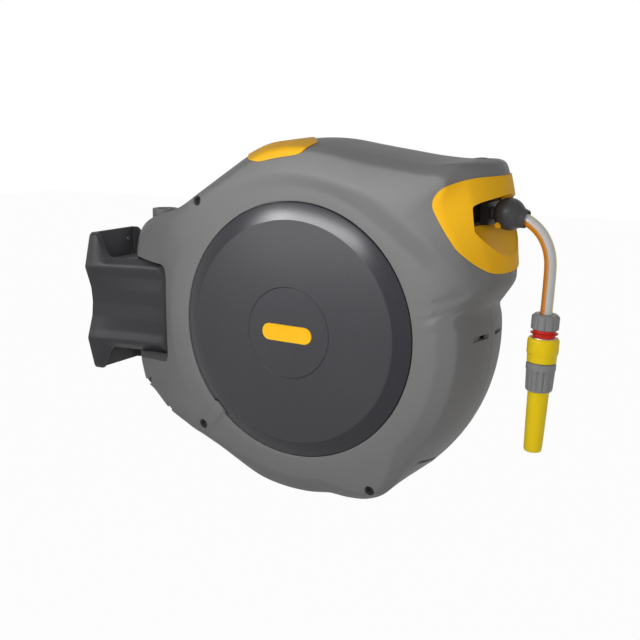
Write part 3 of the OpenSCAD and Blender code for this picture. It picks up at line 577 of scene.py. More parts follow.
grip = turned("grip_ring_pointed", rounded([
    (12.8, -18.4), (13.4, -18.4), (13.4, -21.6), (16.5, -22.8), (16.5, -23.4), (13.4, -24.6),
    (13.4, -27.8), (12.8, -27.8)], 0.3), carry=hung)
finish(grip, "carriage", RED, "fitting_red", "grip_ring")

collar = turned("release_collar_smooth", rounded([
    (15.3, -28.4), (16.8, -28.4), (18.8, -31), (18.8, -46), (17.6, -50), (17.6, -57.6),
    (12.66, -57.6), (12.66, -40.5), (15.3, -40.5)], 0.9), carry=hung, sides=192)
THUMB_R = 7.4  # radius of the ball that presses a thumb dent
THUMB_AT = (24.6, 0, -38.5)  # its middle
half_turn = [(THUMB_R * math.cos(a), THUMB_R * math.sin(a)) for a in np.linspace(-1.5, 1.5, 24)]
thumbs = [turned("thumb", [(CORE, -THUMB_R), *half_turn, (CORE, THUMB_R)], sides=48,
                 carry=lambda p, s=s: hung(p * (1, 1.1, 1.15) + np.array(THUMB_AT) * (s, 1, 1)))
          for s in (-1, 1)]
collar = soften(tidy(combine(collar, thumbs), 40.0), 0.35)
finish(collar, "collar", LEMON, "fitting_lemon", "release_collar")

body = turned("nozzle_nut_ribbed", rounded([
    (4, -30, 0), (9.1, -30, 0), (9.1, -57, 0), (8, -57.8, 0), (15.4, -58.2, 0), (17.8, -60, 0),
    (17.8, -67, 0), (17.2, -67.8, 1.9), (16.2, -90.8, 1.5), (15.2, -93.2, 0.6), (13.4, -93.2, 0),
    (13.4, -76, 0), (4, -76, 0)], 0.5), carry=hung, bite=flutes(13, 5), sides=260)
finish(body, "nozzle", FITTING_GREY, "fitting_grey", "nozzle_body")

tip = turned("nozzle_tip_tapered", rounded([
    (5, -76.3), (13.34, -76.3), (13.34, -94), (12.7, -96), (12.4, -118), (11.6, -148), (11, -166),
    (10.2, -169), (8.4, -169), (6, -150), (5, -120)], 1.0), carry=hung)
finish(tip, "tip", LEMON, "fitting_lemon", "nozzle_tip")

[tuple(p) for p in metres(np.stack([line[:, 0], 0 * line[:, 0], line[:, 1]], axis=1))]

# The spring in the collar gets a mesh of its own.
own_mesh(bpy.data.objects["collar_spring"], "collar_slide", keep=0.72,
          axis=(math.sin(TILT), 0.0, math.cos(TILT)),
          anchor=tuple(metres(hung(np.array([0.0, 0.0, -28.0])))))

# %% [markdown]
# ## The casing's surface
# A moulded housing like this is a skin with no flat stock shape in it. It is drawn as spokes round
# the drum axis. Each spoke has six chosen corners: the parting line, the rim edge, the face edge, a
# lip, and two on the ring round the cover. Spokes between the chosen ones are blended, and each
# corner is rounded by a short curve. Both halves are the same table, mirrored.


# %% The table of spokes
def ray(angle, radius, *half):
    """A corner on a spoke: x and z from the angle and radius, then the half depth where it's given."""
    return (radius * math.cos(math.radians(angle)), radius * math.sin(math.radians(angle)), *half)


def plain(angle, b=211, c=192, hb=74, hc=87, m=226.5):
    """A spoke of the plain rim."""
    return [angle, ray(angle, m), ray(angle, b, hb), ray(angle, c, hc), ray(angle, 184, FACE_H),
            ray(angle, 177, FACE_H), ray(angle, 171)]


# The angle, then x, z and half depth of each corner. The first corner lies on the parting line, where
# the half depth is 0, and the last on the flat face, where it is FACE_H, so neither gives its own.
ROWS = [
    plain(-5),
    plain(4),
    [9, (225, 36), (208, 34, 73), (197, 32, 82), (190, 31, 87), (182, 29, 88), (173, 28)],
    [12, (235, 49), (222, 46, 52), (211, 44, 69), (203, 43, 76), (195, 41, 82), (184, 39)],
    [15, (245, 65), (239, 64, 38), (232, 62, 55), (225, 60, 66), (206, 55, 76), (184, 50)],
    [18.5, (246, 83), (239, 80, 45), (228, 76, 66), (219, 76, 77), (203, 66, 83), (183, 58)],
    [23, (246, 104), (235, 99, 52), (221, 94, 75), (208, 96, 87), (193, 80, 88), (177, 72)],
    [28, (245, 130), (230, 122, 58), (212, 113, 82), (192, 110.6, 95.5), (175, 92, 88), (162, 84)],
    [34, (242, 163), (224, 153, 64), (200, 140, 86), (173, 127.6, 99.5), (157, 107, 88), (150, 98)],
    [38.5, (238, 189), (216.6, 179.5, 64), (192, 164.8, 87), (154.3, 139.6, 100),
     (140, 120, 88), (134, 112)],
    [41.5, (233, 205), (210, 202.3, 65), (198, 189.7, 87), (142.4, 147.6, 100),
     (128, 129, 88), (122, 124)],
    [45, (222, 212), (200, 209, 69), (188, 197, 86), (130.5, 156.5, 100),
     (120, 134, 88), (115, 130)],
    [50, (180, 212.5), (172, 208.4, 70), (166, 199, 86), (114.5, 166.5, 100),
     (108, 142, 88), (104, 138)],
    [56, (146, 215), (140, 211, 67), (136, 203, 86), (98.3, 174.4, 99.5), (92, 152, 88), (90, 147)],
    [66, (98, 222), (95, 217.3, 62.5), (92, 209.5, 85), (76.2, 181.3, 99),
     (68, 165, 88), (66, 160)],
    [76, (58, 228), (54, 223.6, 60), (52, 217.4, 84), (43.7, 189.2, 97.5),
     (38, 174, 88), (37, 169)],
    [86, (18, 234), (17, 229.5, 57), (16, 222.8, 82), (13.5, 193.2, 95.5),
     (11, 178, 88), (10, 172)],
    [96, (-22, 233), (-22, 230.8, 54), (-21, 222.8, 80), (-18, 193, 93),
     (-17, 178, 88), (-16, 172)],
    [104, (-57, 225), (-54, 226, 55), (-51, 215.3, 80), (-45, 189, 91), (-42, 174, 88), (-41, 168)],
    [111, (-82, 213), (-78, 215, 59), (-72, 203.5, 81), (-65, 186, 89.5),
     (-61, 168, 88), (-59, 163)],
    [120, (-114, 195), (-108, 192.6, 70), (-104, 181, 86), (-99, 171, 88.5),
     (-93, 154, 88), (-90, 149)],
    [131, (-150, 172), (-144, 165, 82), (-139, 157, 88), (-131, 150, 88.3),
     (-118, 135, 88), (-114, 131)],
    [141, (-186, 149), (-178, 144, 81), (-172, 136, 87), (-160, 130, 88),
     (-141, 115, 88), (-136, 111)],
    [149, (-226, 130), (-212, 133, 73), (-204, 125, 80), (-184, 112, 86.5),
     (-159, 96, 88), (-151, 91)],
    [155, (-264, 119), (-243, 124, 58), (-235, 116, 68), (-205, 100, 80),
     (-170, 83, 88), (-160, 78)],
    [161, (-290, 103), (-262, 110, 50), (-256, 103, 60), (-214, 85, 76.5),
     (-178, 70, 87.5), (-167, 66)],
    [167, (-297, 78), (-272, 82, 50), (-264, 79, 61), (-213, 65, 75), (-184, 55, 87.3), (-173, 52)],
    [174, (-297, 40), (-273, 40, 50), (-265, 39, 60), (-213, 32, 74.5), (-190, 27, 87), (-178, 25)],
    [186, (-297, -40), (-273, -40, 50), (-265, -39, 60), (-213, -32, 74.5),
     (-190, -27, 87), (-178, -25)],
    [194, (-294, -78), (-270, -80, 50), (-262, -77, 61), (-213, -65, 75.5),
     (-184, -56, 87.3), (-173, -53)],
    [200, (-276, -104), (-256, -101, 60), (-248, -95, 68), (-212, -85, 79),
     (-177, -74, 87.6), (-166, -70)],
    [206.5, (-250, -121), (-236, -111, 67), (-228, -106, 74), (-198, -98, 82.5),
     (-168, -89, 88), (-158, -84)],
    [214, (-216, -142), (-203, -132, 77), (-196, -127, 83), (-176, -117, 87),
     (-153, -109, 88), (-144, -102)],
    [220, (-187.5, -156), (-176, -145.5, 78.5), (-170, -140.5, 85), (-156.5, -132, 87.8),
     (-140, -122.5, 88), (-133, -115)],
    [223, (-173.5, -162.5), (-163, -151.8, 79), (-157, -147, 86), (-147, -138.6, 88),
     (-133.8, -128.6, 88), (-127, -121)],
    [227, (-158.5, -168.5), (-148.5, -157.5, 79), (-143, -152.8, 86.2), (-135, -144.6, 88),
     (-124.6, -135.6, 88), (-118.4, -128.6)],
    [230, (-147.5, -173.5), (-138, -162, 79), (-132.8, -157.2, 86.4), (-126, -149.2, 88),
     (-117.2, -141, 88), (-111.8, -134.4)],
    [236, (-127.5, -184), (-118.8, -171, 78.4), (-113, -164.8, 86.7), (-107.5, -156.8, 88),
     (-101.5, -149, 88), (-97, -143.6)],
    [243, (-105, -200), (-97, -183, 77), (-91, -174, 87), (-86, -166, 88),
     (-82, -158, 88), (-79, -153)],
    plain(253),
    plain(263),
    plain(273),
    plain(281),
    plain(288, 220, 205, 73, 85.5),
    plain(294, 227.5, 217, 72, 84),
    plain(300, 230, 222, 71, 83.5),
    plain(306, 225, 214, 72, 84.5),
    plain(311, 216.5, 202, 73, 86),
    plain(317),
    plain(326),
    plain(335),
    plain(345)
]
CORNERS = np.array([[(*row[1], 0), *row[2:6], (*row[6], FACE_H)] for row in ROWS], float)
STEPS = 8
SPOKE_AT, SPOKES = smooth_rows([row[0] for row in ROWS], CORNERS, STEPS, period=360.0)
print("casing:", len(ROWS), "chosen spokes,", len(SPOKES), "in all")


# %% Rounded spokes
def unit(v):
    """Each vector at length 1."""
    return v / np.maximum(np.linalg.norm(v, axis=-1, keepdims=True), 1e-9)


def bend(before, corner, after, reach, steps):
    """A curve in place of a corner. It leaves the line from before, and joins the line to after, at
    reach from the corner or 0.45 of the line's length, and is pulled towards the corner."""
    lb = np.minimum(reach, 0.45 * np.linalg.norm(before - corner, axis=1, keepdims=True))
    la = np.minimum(reach, 0.45 * np.linalg.norm(after - corner, axis=1, keepdims=True))
    a, c = corner + unit(before - corner) * lb, corner + unit(after - corner) * la
    t = np.linspace(0.0, 1.0, steps)[None, :, None]
    return (1 - t) ** 2 * a[:, None] + 2 * t * (1 - t) * corner[:, None] + t ** 2 * c[:, None]


SKIN_IN = 0.2  # how far the parting line stays inside the construction model's
SEAM_DEEP = 0.7  # depth of the groove along the parting line
SEAM_HALF = 0.8  # half its width at the top
SEAM_FLOOR = 0.1  # half its width at the floor
SHOULDER = 6.0  # reach of the rim's rounded edge


def outer_skin(spokes):
    """Points of the moulded skin, from the parting line to the ring's inner corner. Between the first
    two corners the rim is a barrel: a share t of the half depth goes with t squared of the way."""
    a, b, c, e, g, f = np.moveaxis(spokes, 1, 0)
    a = a - unit(a) * SKIN_IN
    across = b - a
    speed = np.sqrt((2 * across[:, 0]) ** 2 + (2 * across[:, 1]) ** 2 + b[:, 2] ** 2)
    t = np.linspace(0.0, 1.0, 10)[None, :] * (1 - SHOULDER / speed)[:, None]
    t = np.maximum(t, SEAM_HALF / b[:, 2:])[:, :, None]
    barrel = a[:, None] + across[:, None] * t ** 2
    barrel[:, :, 2] = b[:, None, 2] * t[:, :, 0]
    start = a - unit(a) * SEAM_DEEP
    start[:, 2] = SEAM_FLOOR
    nearly = barrel[:, -1]
    shoulder = bend(b + unit(nearly - b) * SHOULDER, b, c, SHOULDER, 6)
    return np.concatenate([start[:, None], barrel[:, :-1], barrel[:, -1:], shoulder[:, 1:],
                           bend(b, c, e, 5.0, 6), bend(c, e, g, 7.0, 7), bend(e, g, f, 4.0, 5),
                           f[:, None]], axis=1)


# %% [markdown]
# ## The boss beside the cover
# At the lower left the ring rises in a short radial rib round a screw, and its end reaches into the
# cover's edge. The rib is a smooth bump added to the half depth, and the same bump of the angle moves
# the ring's inner edge and the cover's outer edge, so the two stay parallel.

# %% The boss bump
BOSS_AT = math.radians(225.0)  # its way out from the drum axis
BOSS_FLAT = 6.0  # half width of its top
BOSS_FOOT = 14.0  # half width of its foot
BOSS_HIGH = 3.0  # how far it rises
BOSS_IN = 4.4  # how far it reaches into the cover's edge
COVER_GIVE = 4.0  # how far the cover gives way to it


def eased(value, start, end):
    """0 at start and 1 at end, with an eased step between."""
    t = np.clip((value - start) / (end - start), 0.0, 1.0)
    return t * t * (3 - 2 * t)


def boss_share(x, z):
    """1 on the rib and 0 away from it, by the distance across the rib."""
    across = np.abs(x * math.sin(BOSS_AT) - z * math.cos(BOSS_AT))
    facing = x * math.cos(BOSS_AT) + z * math.sin(BOSS_AT) > 0
    return facing * (1 - eased(across, BOSS_FLAT, BOSS_FOOT))


# %% Loops from skin and lining
SEAT_R = COVER_R + 1.0  # radius of the well that the cover sits in
SEAT_IN = COVER_R - 8.5  # inner radius of its floor
SEAT_DEEP = 5.0  # depth of the well
LEDGE_DEEP = 9.0  # depth of the floor's underside


def rear_limit(angle):
    """How far the lining may reach: it stays in front of the pivot at the wall side."""
    c = np.cos(angle)
    return np.where(c < -0.2, -1 / np.minimum(c, -0.2), 9.0)


def half_loops(side):
    """Closed loops of one casing half: the skin, the seat of the cover and the lining. side is -1
    for the near half and 1 for the far one."""
    skin = outer_skin(SPOKES)
    a, b, c, e = (SPOKES[:, i] for i in range(4))
    facing = np.arctan2(SPOKES[:, 5, 1], SPOKES[:, 5, 0])
    angle = np.radians(SPOKE_AT)
    lift = boss_share(SEAT_R * np.cos(facing), SEAT_R * np.sin(facing))

    def ring(radius, half, at=facing):
        r, h = np.broadcast_to(radius, at.shape), np.broadcast_to(half, at.shape)
        return np.stack([r * np.cos(at), r * np.sin(at), h], axis=1)[:, None]

    ra, rb, rc = (np.linalg.norm(p[:, :2], axis=1) for p in (a, b, c))
    limit = rear_limit(angle)
    deep = np.where(rc - 9 > 190 * limit, e[:, 2], c[:, 2]) - 8
    edge = SEAT_R - BOSS_IN * lift
    # After the well of the cover, the lining runs 4.5 to 9 mm inside the skin.
    loops = np.concatenate([
        skin, ring(edge + 0.9, FACE_H), ring(edge + 0.2, FACE_H - 0.3), ring(edge, FACE_H - 1.0),
        ring(edge, FACE_H - SEAT_DEEP), ring(SEAT_IN, FACE_H - SEAT_DEEP),
        ring(SEAT_IN, FACE_H - LEDGE_DEEP),
        ring(np.minimum(rc - 9, 190 * limit), np.minimum(deep, 79), angle),
        ring(np.minimum(rb - 7, 195 * limit), np.minimum(b[:, 2] - 6, 68), angle),
        ring(np.minimum(ra - 4.5, 197 * limit), SEAM_FLOOR, angle)], axis=1)
    away = np.hypot(loops[..., 0], loops[..., 1])
    shown = np.arange(loops.shape[1]) < skin.shape[1] + 3
    rise = boss_share(loops[..., 0], loops[..., 1]) * (1 - eased(away, 190.0, 208.0)) * shown
    loops[..., 2] += BOSS_HIGH * rise
    half = side * np.maximum(loops[..., 2], SEAM_FLOOR)
    return np.stack([loops[..., 0], half, loops[..., 1]], axis=2)


# %% [markdown]
# ## Cuts in the casing
# Openings are cut with plain tools: the notch that the bracket's arm sits in, the mouth of the
# outlet, screw holes with round wells, narrow slits across the rim, and the way of the pivot pin.

# %% The mouth of the outlet
SLOT_X = 213.0  # where the slot ends and the bowl starts to widen
BOWL_X = 247.0  # where the bowl is widest
SLOT = rounded([(0, 14), (63, 14), (63, -14), (-63, -14), (-63, 14)], [0.1, 3, 3, 3, 3], 7)
BOWL_HALF = [(42, 22.5), (66, 19), (74, 8), (74, -10), (67, -31), (52, -41), (28, -47.5)]
BOWL = rounded([(0, 24.5), *BOWL_HALF, (0, -49.5), *[(-y, z) for y, z in BOWL_HALF[::-1]]],
               [0.1] + [9.0] * 15, 4)


def even(loop, count):
    """The same closed outline with count points at equal steps, from its first point."""
    p = np.concatenate([loop, loop[:1]])
    run = np.concatenate([[0], np.cumsum(np.linalg.norm(np.diff(p, axis=0), axis=1))])
    at = np.linspace(0, run[-1], count, endpoint=False)
    return np.stack([np.interp(at, run, p[:, 0]), np.interp(at, run, p[:, 1])], axis=1)


def grown(loop, gap):
    """A clockwise outline moved outwards by gap, along the normal of each point."""
    way = unit(np.roll(loop, -1, axis=0) - np.roll(loop, 1, axis=0))
    return loop + np.stack([-way[:, 1], way[:, 0]], axis=1) * gap


def mouth_rings(gap, ends):
    """Rings of the mouth in Y and Z at each X in ends: the slot's outline up to SLOT_X, the bowl's
    from BOWL_X, and a straight blend between."""
    a, b = grown(even(SLOT, 120), gap), grown(even(BOWL, 120), gap)
    t = np.clip((np.asarray(ends, float) - SLOT_X) / (BOWL_X - SLOT_X), 0, 1)[:, None, None]
    yz = a * (1 - t) + b * t
    x = np.broadcast_to(np.asarray(ends, float)[:, None], yz.shape[:2])
    return np.stack([x, yz[..., 0], yz[..., 1] + OUT_Z], axis=2)


def mouth_tool(gap):
    """A solid plug with the mouth's shape."""
    return loft("mouth", mouth_rings(gap, [203, SLOT_X, 220, 230, 240, BOWL_X, 262]))


# %% The casing halves
SCREWS = ((-144, 155), (-139, -139), (104, -191))
JAW_Z = 66.5  # half height of the notch
NOTCH_X = -203  # its inner end
HOLE_R = 2.2  # a screw's hole
WELL_R = 6.3  # the well round its head
WELL_FLOOR = 76.0  # half depth of the well's floor
PAST = 101.0  # a half depth outside the casing


def notch_outline(flare):
    """The notch in X and Z: jaws above and below, with a small ease at each inner corner. With flare
    at 1, the jaws part towards their tips with a power of the way out."""
    out = np.linspace(14.0, 127.0, 20)
    spread = flare * 12.0 * (out / 80.0) ** 2.2
    lower = [(0, -12), (1.2, -6), (4, -2), (9, 0)] + list(zip(out, 0.35 * spread))
    upper = list(zip(out, spread))[::-1] + [(9, -0.6), (4, -3.5), (1.2, -9), (0, -16)]
    return np.array([(NOTCH_X - x, -JAW_Z - z) for x, z in lower] +
                    [(NOTCH_X - x, JAW_Z + z) for x, z in upper])


def notch_tool(side):
    """The notch's outline carried along Y: straight at the pivot and flared at the outer face."""
    rings = []
    for half, flare in ((0.0, 0.0), (32.0, 0.0), (46.0, 1.0), (100.0, 1.0)):
        outline = notch_outline(flare)
        rings.append(np.column_stack([outline[:, 0], np.full(len(outline), side * half),
                                      outline[:, 1]]))
    return loft("notch", rings)


def rod(name, at, radius, y0, y1, sides=48):
    """A plain round tool along Y at x, z."""
    angle = np.linspace(0, 2 * math.pi, sides, endpoint=False)
    ring = np.stack([at[0] + radius * np.cos(angle), at[1] + radius * np.sin(angle)], axis=1)
    return prism_y(name, ring, y0, y1)


def slit(name, angle, outline, width):
    """A narrow recess across the rim: an outline in radius and Y, as thick as width, at an angle
    round the drum."""
    c, s = math.cos(math.radians(angle)), math.sin(math.radians(angle))
    return loft(name, [[(r * c - h * s, y, r * s + h * c) for r, y in outline]
                       for h in (-width / 2, width / 2)])


RECESS = [(219.5, 54), (240, 54), (240, 10), (205, 10), (205, 24), (219, 24)]
SLITS = ((1, 6, RECESS), (-45, 6, RECESS),
         (202.0, 8, [(269, 50), (340, 50), (340, 71), (253, 71)]),
         (212.5, 7, [(249, 58), (330, 58), (330, 81), (229, 81)]))


def casing_half(name, side):
    """One casing half, cut by its tools. side is -1 near and 1 far."""
    half = tidy(grid_object(name, half_loops(side), close_u=True, close_v=True))
    tools = [notch_tool(side), mouth_tool(4.4)]
    for at in SCREWS:
        tools.append(rod("screw hole", at, HOLE_R, *sorted((side * 0.01, side * PAST))))
        tools.append(rod("well", at, WELL_R, *sorted((side * WELL_FLOOR, side * PAST))))
    for angle, width, outline in SLITS:
        tools.append(slit("slit", angle, np.array(outline) * (1, side), width))
    tools.append(turned("pin way", [(CORE, -140), (9.06, -140), (9.06, 112), (18, 112), (18, 160),
                                    (CORE, 160)], centre=PIVOT, sides=64))
    return tidy(combine(half, tools), 30.0)


for name, side in (("casing_near", -1), ("casing_far", 1)):
    finish(casing_half(name + "_shell", side), "reel", CASING, "casing_plastic", name)

# %% [markdown]
# ## Screws in their wells
# Three screws close the casing. Their heads are black, nearly as wide as the round wells and lie only
# a few millimetres down in them, so they show as dark spots: painted shade where the real holes are
# deep and dark. A head is a turned profile with a dished middle.


# %% Screws
HEAD_R = 6.1  # radius of a screw's head
SHANK_R = 2.0  # and of its shank
HEAD_TOPS = (84.0, 88.4, 81.5)  # half depth of each head's top


def screw(name, at, top):
    """One screw: a head nearly as wide as its well, its top at the half depth top, and a shank."""
    return turned(name, rounded([(CORE, -top + 3), (SHANK_R, -top + 2.6), (3.2, -top),
                                 (HEAD_R, -top), (HEAD_R, -76.1), (SHANK_R, -76.1), (SHANK_R, 73),
                                 (CORE, 73)], 0.4),
                  centre=(at[0], 0, at[1]), axis="Y", sides=48)


# The black heads, standing high in their wells, are painted shade for deep, dark holes.
screws = [screw(f"casing_screw_{i}", at, top)
          for i, (at, top) in enumerate(zip(SCREWS, HEAD_TOPS))]
for piece in screws:
    finish(piece, "reel", BLACK, "black_plastic")
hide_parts("casing_screws")

# %% [markdown]
# ## The side covers
# Each cover is turned about the drum axis: a shallow dome inside a broad bevel, with a fine ring
# groove and a wall that seats in the casing. The dome falls with the square of the radius, and the
# bevel's slope steepens towards the rim. The lower of the two curves is the surface, so they meet in
# a clean edge that catches the light.

# %% Covers
BEVEL_R = 140.0  # radius near which the dome meets the bevel
RING_R = 57.0  # radius of the ring groove
RING_DEEP = 0.8  # its depth


def dome(radius):
    """Half depth of the cover's outside: the dome's height, or the bevel's where that is lower."""
    out = radius - BEVEL_R
    return np.minimum(104.2 - 0.00033 * radius ** 2, 97.4 - 0.36 * out - 0.0053 * out * abs(out))


def cover(name, side, hole):
    """A cover as a turned shape. The outer stations give way to the casing's boss."""
    radius = np.concatenate([np.linspace(hole, 56.0, 12), [56.2, RING_R, 57.8],
                             np.linspace(58, 138, 16), np.linspace(138.9, 139.5, 4),
                             np.linspace(142, 158.6, 9), [159.4, 159.9, 160.0]])
    height = dome(radius)
    height[radius == RING_R] -= RING_DEEP
    height[-3:] = (88.4, 87.9, 87.2)
    give = COVER_GIVE * eased(radius, 152.0, 158.6)
    inner = np.array([(160, 83.3, COVER_GIVE), (151.1, 83.3, 0), (151.1, 86, 0), (136, 93.4, 0),
                      (57, 98.5, 0), (29, 99.6, 0), (29, 68.5, 0), (20.1, 68.5, 0),
                      (20.1, 98.6, 0), (hole, 98.6, 0)], float)
    profile = np.concatenate([np.stack([radius, height, give], axis=1), inner])
    profile[:, 1] *= side
    return turned(name, profile, axis="Y", sides=360,
                  bite=lambda angle: boss_share(SEAT_R * np.sin(angle), SEAT_R * np.cos(angle)))


PLATE_HALF = 24.5  # half the straight stretch between the plate's round ends
PLATE_END = 10.5  # radius of the ends
PLATE_TURN = math.radians(1.6)  # how far it is turned


def plate_outline(grow):
    """A plate with round ends, turned a little about its own middle. The ends are half circles, and
    grow widens the outline on every side."""
    end, r = np.linspace(-math.pi / 2, math.pi / 2, 25), PLATE_END + grow
    x = np.concatenate([PLATE_HALF + r * np.cos(end), -PLATE_HALF - r * np.cos(end)])
    z = np.concatenate([r * np.sin(end), -r * np.sin(end)])
    c, s = math.cos(PLATE_TURN), math.sin(PLATE_TURN)
    return np.stack([x * c + z * s - 1, z * c - x * s - 0.5], axis=1)


near_cover = combine(cover("cover_near_dome", -1, 0.02),
                     [prism_y("plate seat", plate_outline(0.3), -110, -101)])
finish(tidy(near_cover, 40.0), "reel", SMOKE, "cover_smoke", "cover_near")
finish(tidy(cover("cover_far_dome", 1, 14.2), 40.0), "reel", SMOKE, "cover_smoke",
       "cover_far")


# %% The plate on the cover
def plate(name):
    """A shallow plate with a soft raised rim and a flat middle. Rings of the outline step in, and
    each has its own depth."""
    steps = [(0.0, -101.4), (0.0, -104.3), (-0.35, -104.8), (-0.9, -104.9), (-1.5, -104.8),
             (-1.9, -104.45), (-2.4, -104.35), (-9.5, -104.4)]
    rows = [np.insert(plate_outline(grow), 1, y, axis=1) for grow, y in steps]
    return loft(name, rows, 50.0)


finish(plate("cover_plate"), "reel", TRIM, "trim_yellow", "badge")

# %% [markdown]
# ## Yellow trim that follows the casing
# The handle cap and the outlet's surround lie on the casing's double curve. Their surface is the
# casing's own spokes, moved out along the normal, so they follow it exactly. An outline seen from
# the side then trims each shell. A second outline, seen from above, shortens the cap's top towards
# the far side.


# %% Shells that follow the casing
def over_casing(first, last):
    """Spokes first to last, in table rows, from lip to lip across the casing, as X, Y, Z."""
    rows = outer_skin(SPOKES[int(first * STEPS):int(last * STEPS) + 1])[:, 1:-3]
    near = np.stack([rows[..., 0], -rows[..., 2], rows[..., 1]], axis=2)
    far = near * (1, -1, 1)
    crown = near[:, :1] * (1, 0, 1)
    return np.concatenate([near[:, ::-1], crown, far], axis=1)


def casing_shell(name, first, last, low, high):
    """A shell between two offsets of the casing along its normals. A normal is the cross product of
    the steps along both ways of the grid."""
    g = over_casing(first, last)
    n = unit(np.cross(np.gradient(g, axis=1), np.gradient(g, axis=0)))
    if np.einsum("ijk,ijk->ij", n, g * (1, 0, 1)).mean() < 0:
        n = -n
    loop = np.concatenate([g + n * high, (g + n * low)[:, ::-1]], axis=1)
    return loft(name, loop, 30.0)


TRIM_HIGH = 1.8  # how far the trim stands off the casing
HANDLE_LOW, BEZEL_LOW = 0.35, 0.3  # how far its underside does
HANDLE_SPOKES = (15, 20)  # the chosen spokes that the cap reaches over
HANDLE = [(-74, 209), (-62, 207.5), (-50, 206.5), (-28, 211.5), (-5, 215), (6, 217), (12, 221),
          (15, 229), (19, 236), (19, 250), (-90, 250), (-90, 218), (-80, 213)]
HANDLE_TOP = [(-110, -130), (40, -130), (21, -64), (2, -36), (-26, 0), (-42, 50), (-48, 130),
              (-110, 130)]
BEZEL_SPOKES = (3, 10.5)  # and those of the surround and the bowl
BEZEL = [(184, 167), (186.5, 174), (192, 181), (200, 186.5), (209, 190.5), (221, 194),
         (236, 195), (262, 194), (262, 81), (247, 81), (238, 86.5), (228, 96), (211, 115),
         (198, 136), (187, 155), (184.5, 161)]

handle = combine(casing_shell("handle_cap_shell", *HANDLE_SPOKES, HANDLE_LOW, TRIM_HIGH),
                 [prism_y("trim", rounded(HANDLE, 5.0), -120, 120)], "INTERSECT")
handle = combine(handle, [prism_z("top trim", rounded(HANDLE_TOP, 9.0), 150, 260)], "INTERSECT")
finish(tidy(handle), "reel", TRIM, "trim_yellow", "handle_cap")
bezel = combine(casing_shell("outlet_bezel_shell", *BEZEL_SPOKES, BEZEL_LOW, TRIM_HIGH),
                [prism_y("trim", rounded(BEZEL, 6.0), -120, 120)], "INTERSECT")
bezel = combine(bezel, [mouth_tool(0.0)])
finish(tidy(bezel), "reel", TRIM, "trim_yellow", "outlet_bezel")

# %% [markdown]
# ## The bowl of the outlet
# Behind the surround, a bowl funnels the hose into a slot. It is a ruled surface from the slot's
# outline to the bowl's, 4 mm thick. The casing's own surface, filled in towards the drum axis, trims
# its front, so that it ends just behind the surround.


# %% The outlet's bowl
def bowl(name):
    """The bowl's wall: rings of the mouth going forward inside and back outside."""
    ends = [209.1, 211, SLOT_X, 216, 220, 225, 230, 235, 240, BOWL_X, 252]
    loop = np.concatenate([mouth_rings(0.05, ends), mouth_rings(4.0, ends[::-1])])
    wall = tidy(grid_object(name, loop, close_u=True, close_v=True))
    skin = over_casing(*BEZEL_SPOKES)
    front = grid_object("front", np.concatenate([skin, (skin * (0.6, 1, 0.6))[:, ::-1]], axis=1),
                        close_v=True, caps=True)
    return tidy(combine(wall, [tidy(front)], "INTERSECT"))


finish(bowl("outlet_bowl"), "reel", TRIM, "trim_yellow", "outlet_throat")

# %% [markdown]
# ## The wall bracket
# The bracket is one hollow moulding: a broad plate on the wall that draws in to an arm. Sections
# across it share one outline, and the outline's height, corner, ridge and waist change along X. Key
# sections are blended. Then the round end, the pockets, the holes of the wall screws and the pin's
# way are cut.

# %% Sections of the bracket
PLATE_Z = 98.0  # half height of the wall plate
ARM_Z = 65.0  # half height of the arm
RIDGE_Y = 62.0  # half width at the ridge on the wall
WALL = np.array([
    # x, share of the way from plate to arm height, half width at the corner, ridge inset, waist
    [0, 0, 50, 0, 48.5], [5, 0, 50, 0.5, 48.5], [10, 0, 50, 1, 48.5], [14, 0.1, 49.5, 1.8, 48.3],
    [18, 0.38, 49, 2.8, 48], [22, 0.68, 48.3, 4, 47.7], [26, 0.88, 47.5, 5.2, 47.4],
    [31, 1, 47, 6.2, 47], [45, 1, 45.5, 8.5, 46], [60, 1, 44, 10.5, 45], [78, 1, 42, 13, 44],
    [150, 1, 40, 15, 43]])


def bracket_rings():
    """Rings of Y and Z at each X: a quarter outline of seven corners, mirrored both ways and
    rounded. Its height goes from the plate's to the arm's by the share."""
    at, rows = smooth_rows(WALL[:, 0], WALL[:, 1:], 4)
    rings = []
    for x, (share, corner, inset, waist) in zip(at, rows):
        h = PLATE_Z - (PLATE_Z - ARM_Z) * min(max(share, 0.0), 1.0)
        w = RIDGE_Y - inset
        quarter = [(corner - 4, h), (corner, h - 4), (w - 1.5, 56), (w, 51), (w - 4.5, 39),
                   (waist + 2.2, 20), (waist, 0)]
        loop = quarter + [(y, -z) for y, z in quarter[-2::-1]]
        loop += [(-y, z) for y, z in loop[::-1]]
        seen = [p for i, p in enumerate(loop) if p != loop[i - 1]]
        yz = rounded(seen, 3.0, 4)
        rings.append(np.column_stack([np.full(len(yz), x), yz]))
    return np.stack(rings)


def block(name, low, high, radius=2.0):
    """A tool with rounded upright edges between two corners."""
    (x0, y0, z0), (x1, y1, z1) = low, high
    return prism_z(name, rounded([(x0, y0), (x1, y0), (x1, y1), (x0, y1)], radius), z0, z1)


def in_frame(points):
    """From millimetres off the wall to millimetres about the drum axis."""
    return np.asarray(points, float) - (AXIS_X, 0.0, 0.0)


END_R = 50.0  # radius of the arm's round end
BORE_R = 10.2  # the pin's way
BUSH_R = 12.1  # seat of a bush
BOLT_R = 3.25  # hole of a wall screw
BOLT_Y, BOLT_Z = 30, 82  # its place from the middle of the plate
POCKETS = (((-353, -41, 63), (-298, 41, 123)), ((-353, -35, 37), (-329, 35, 97)))


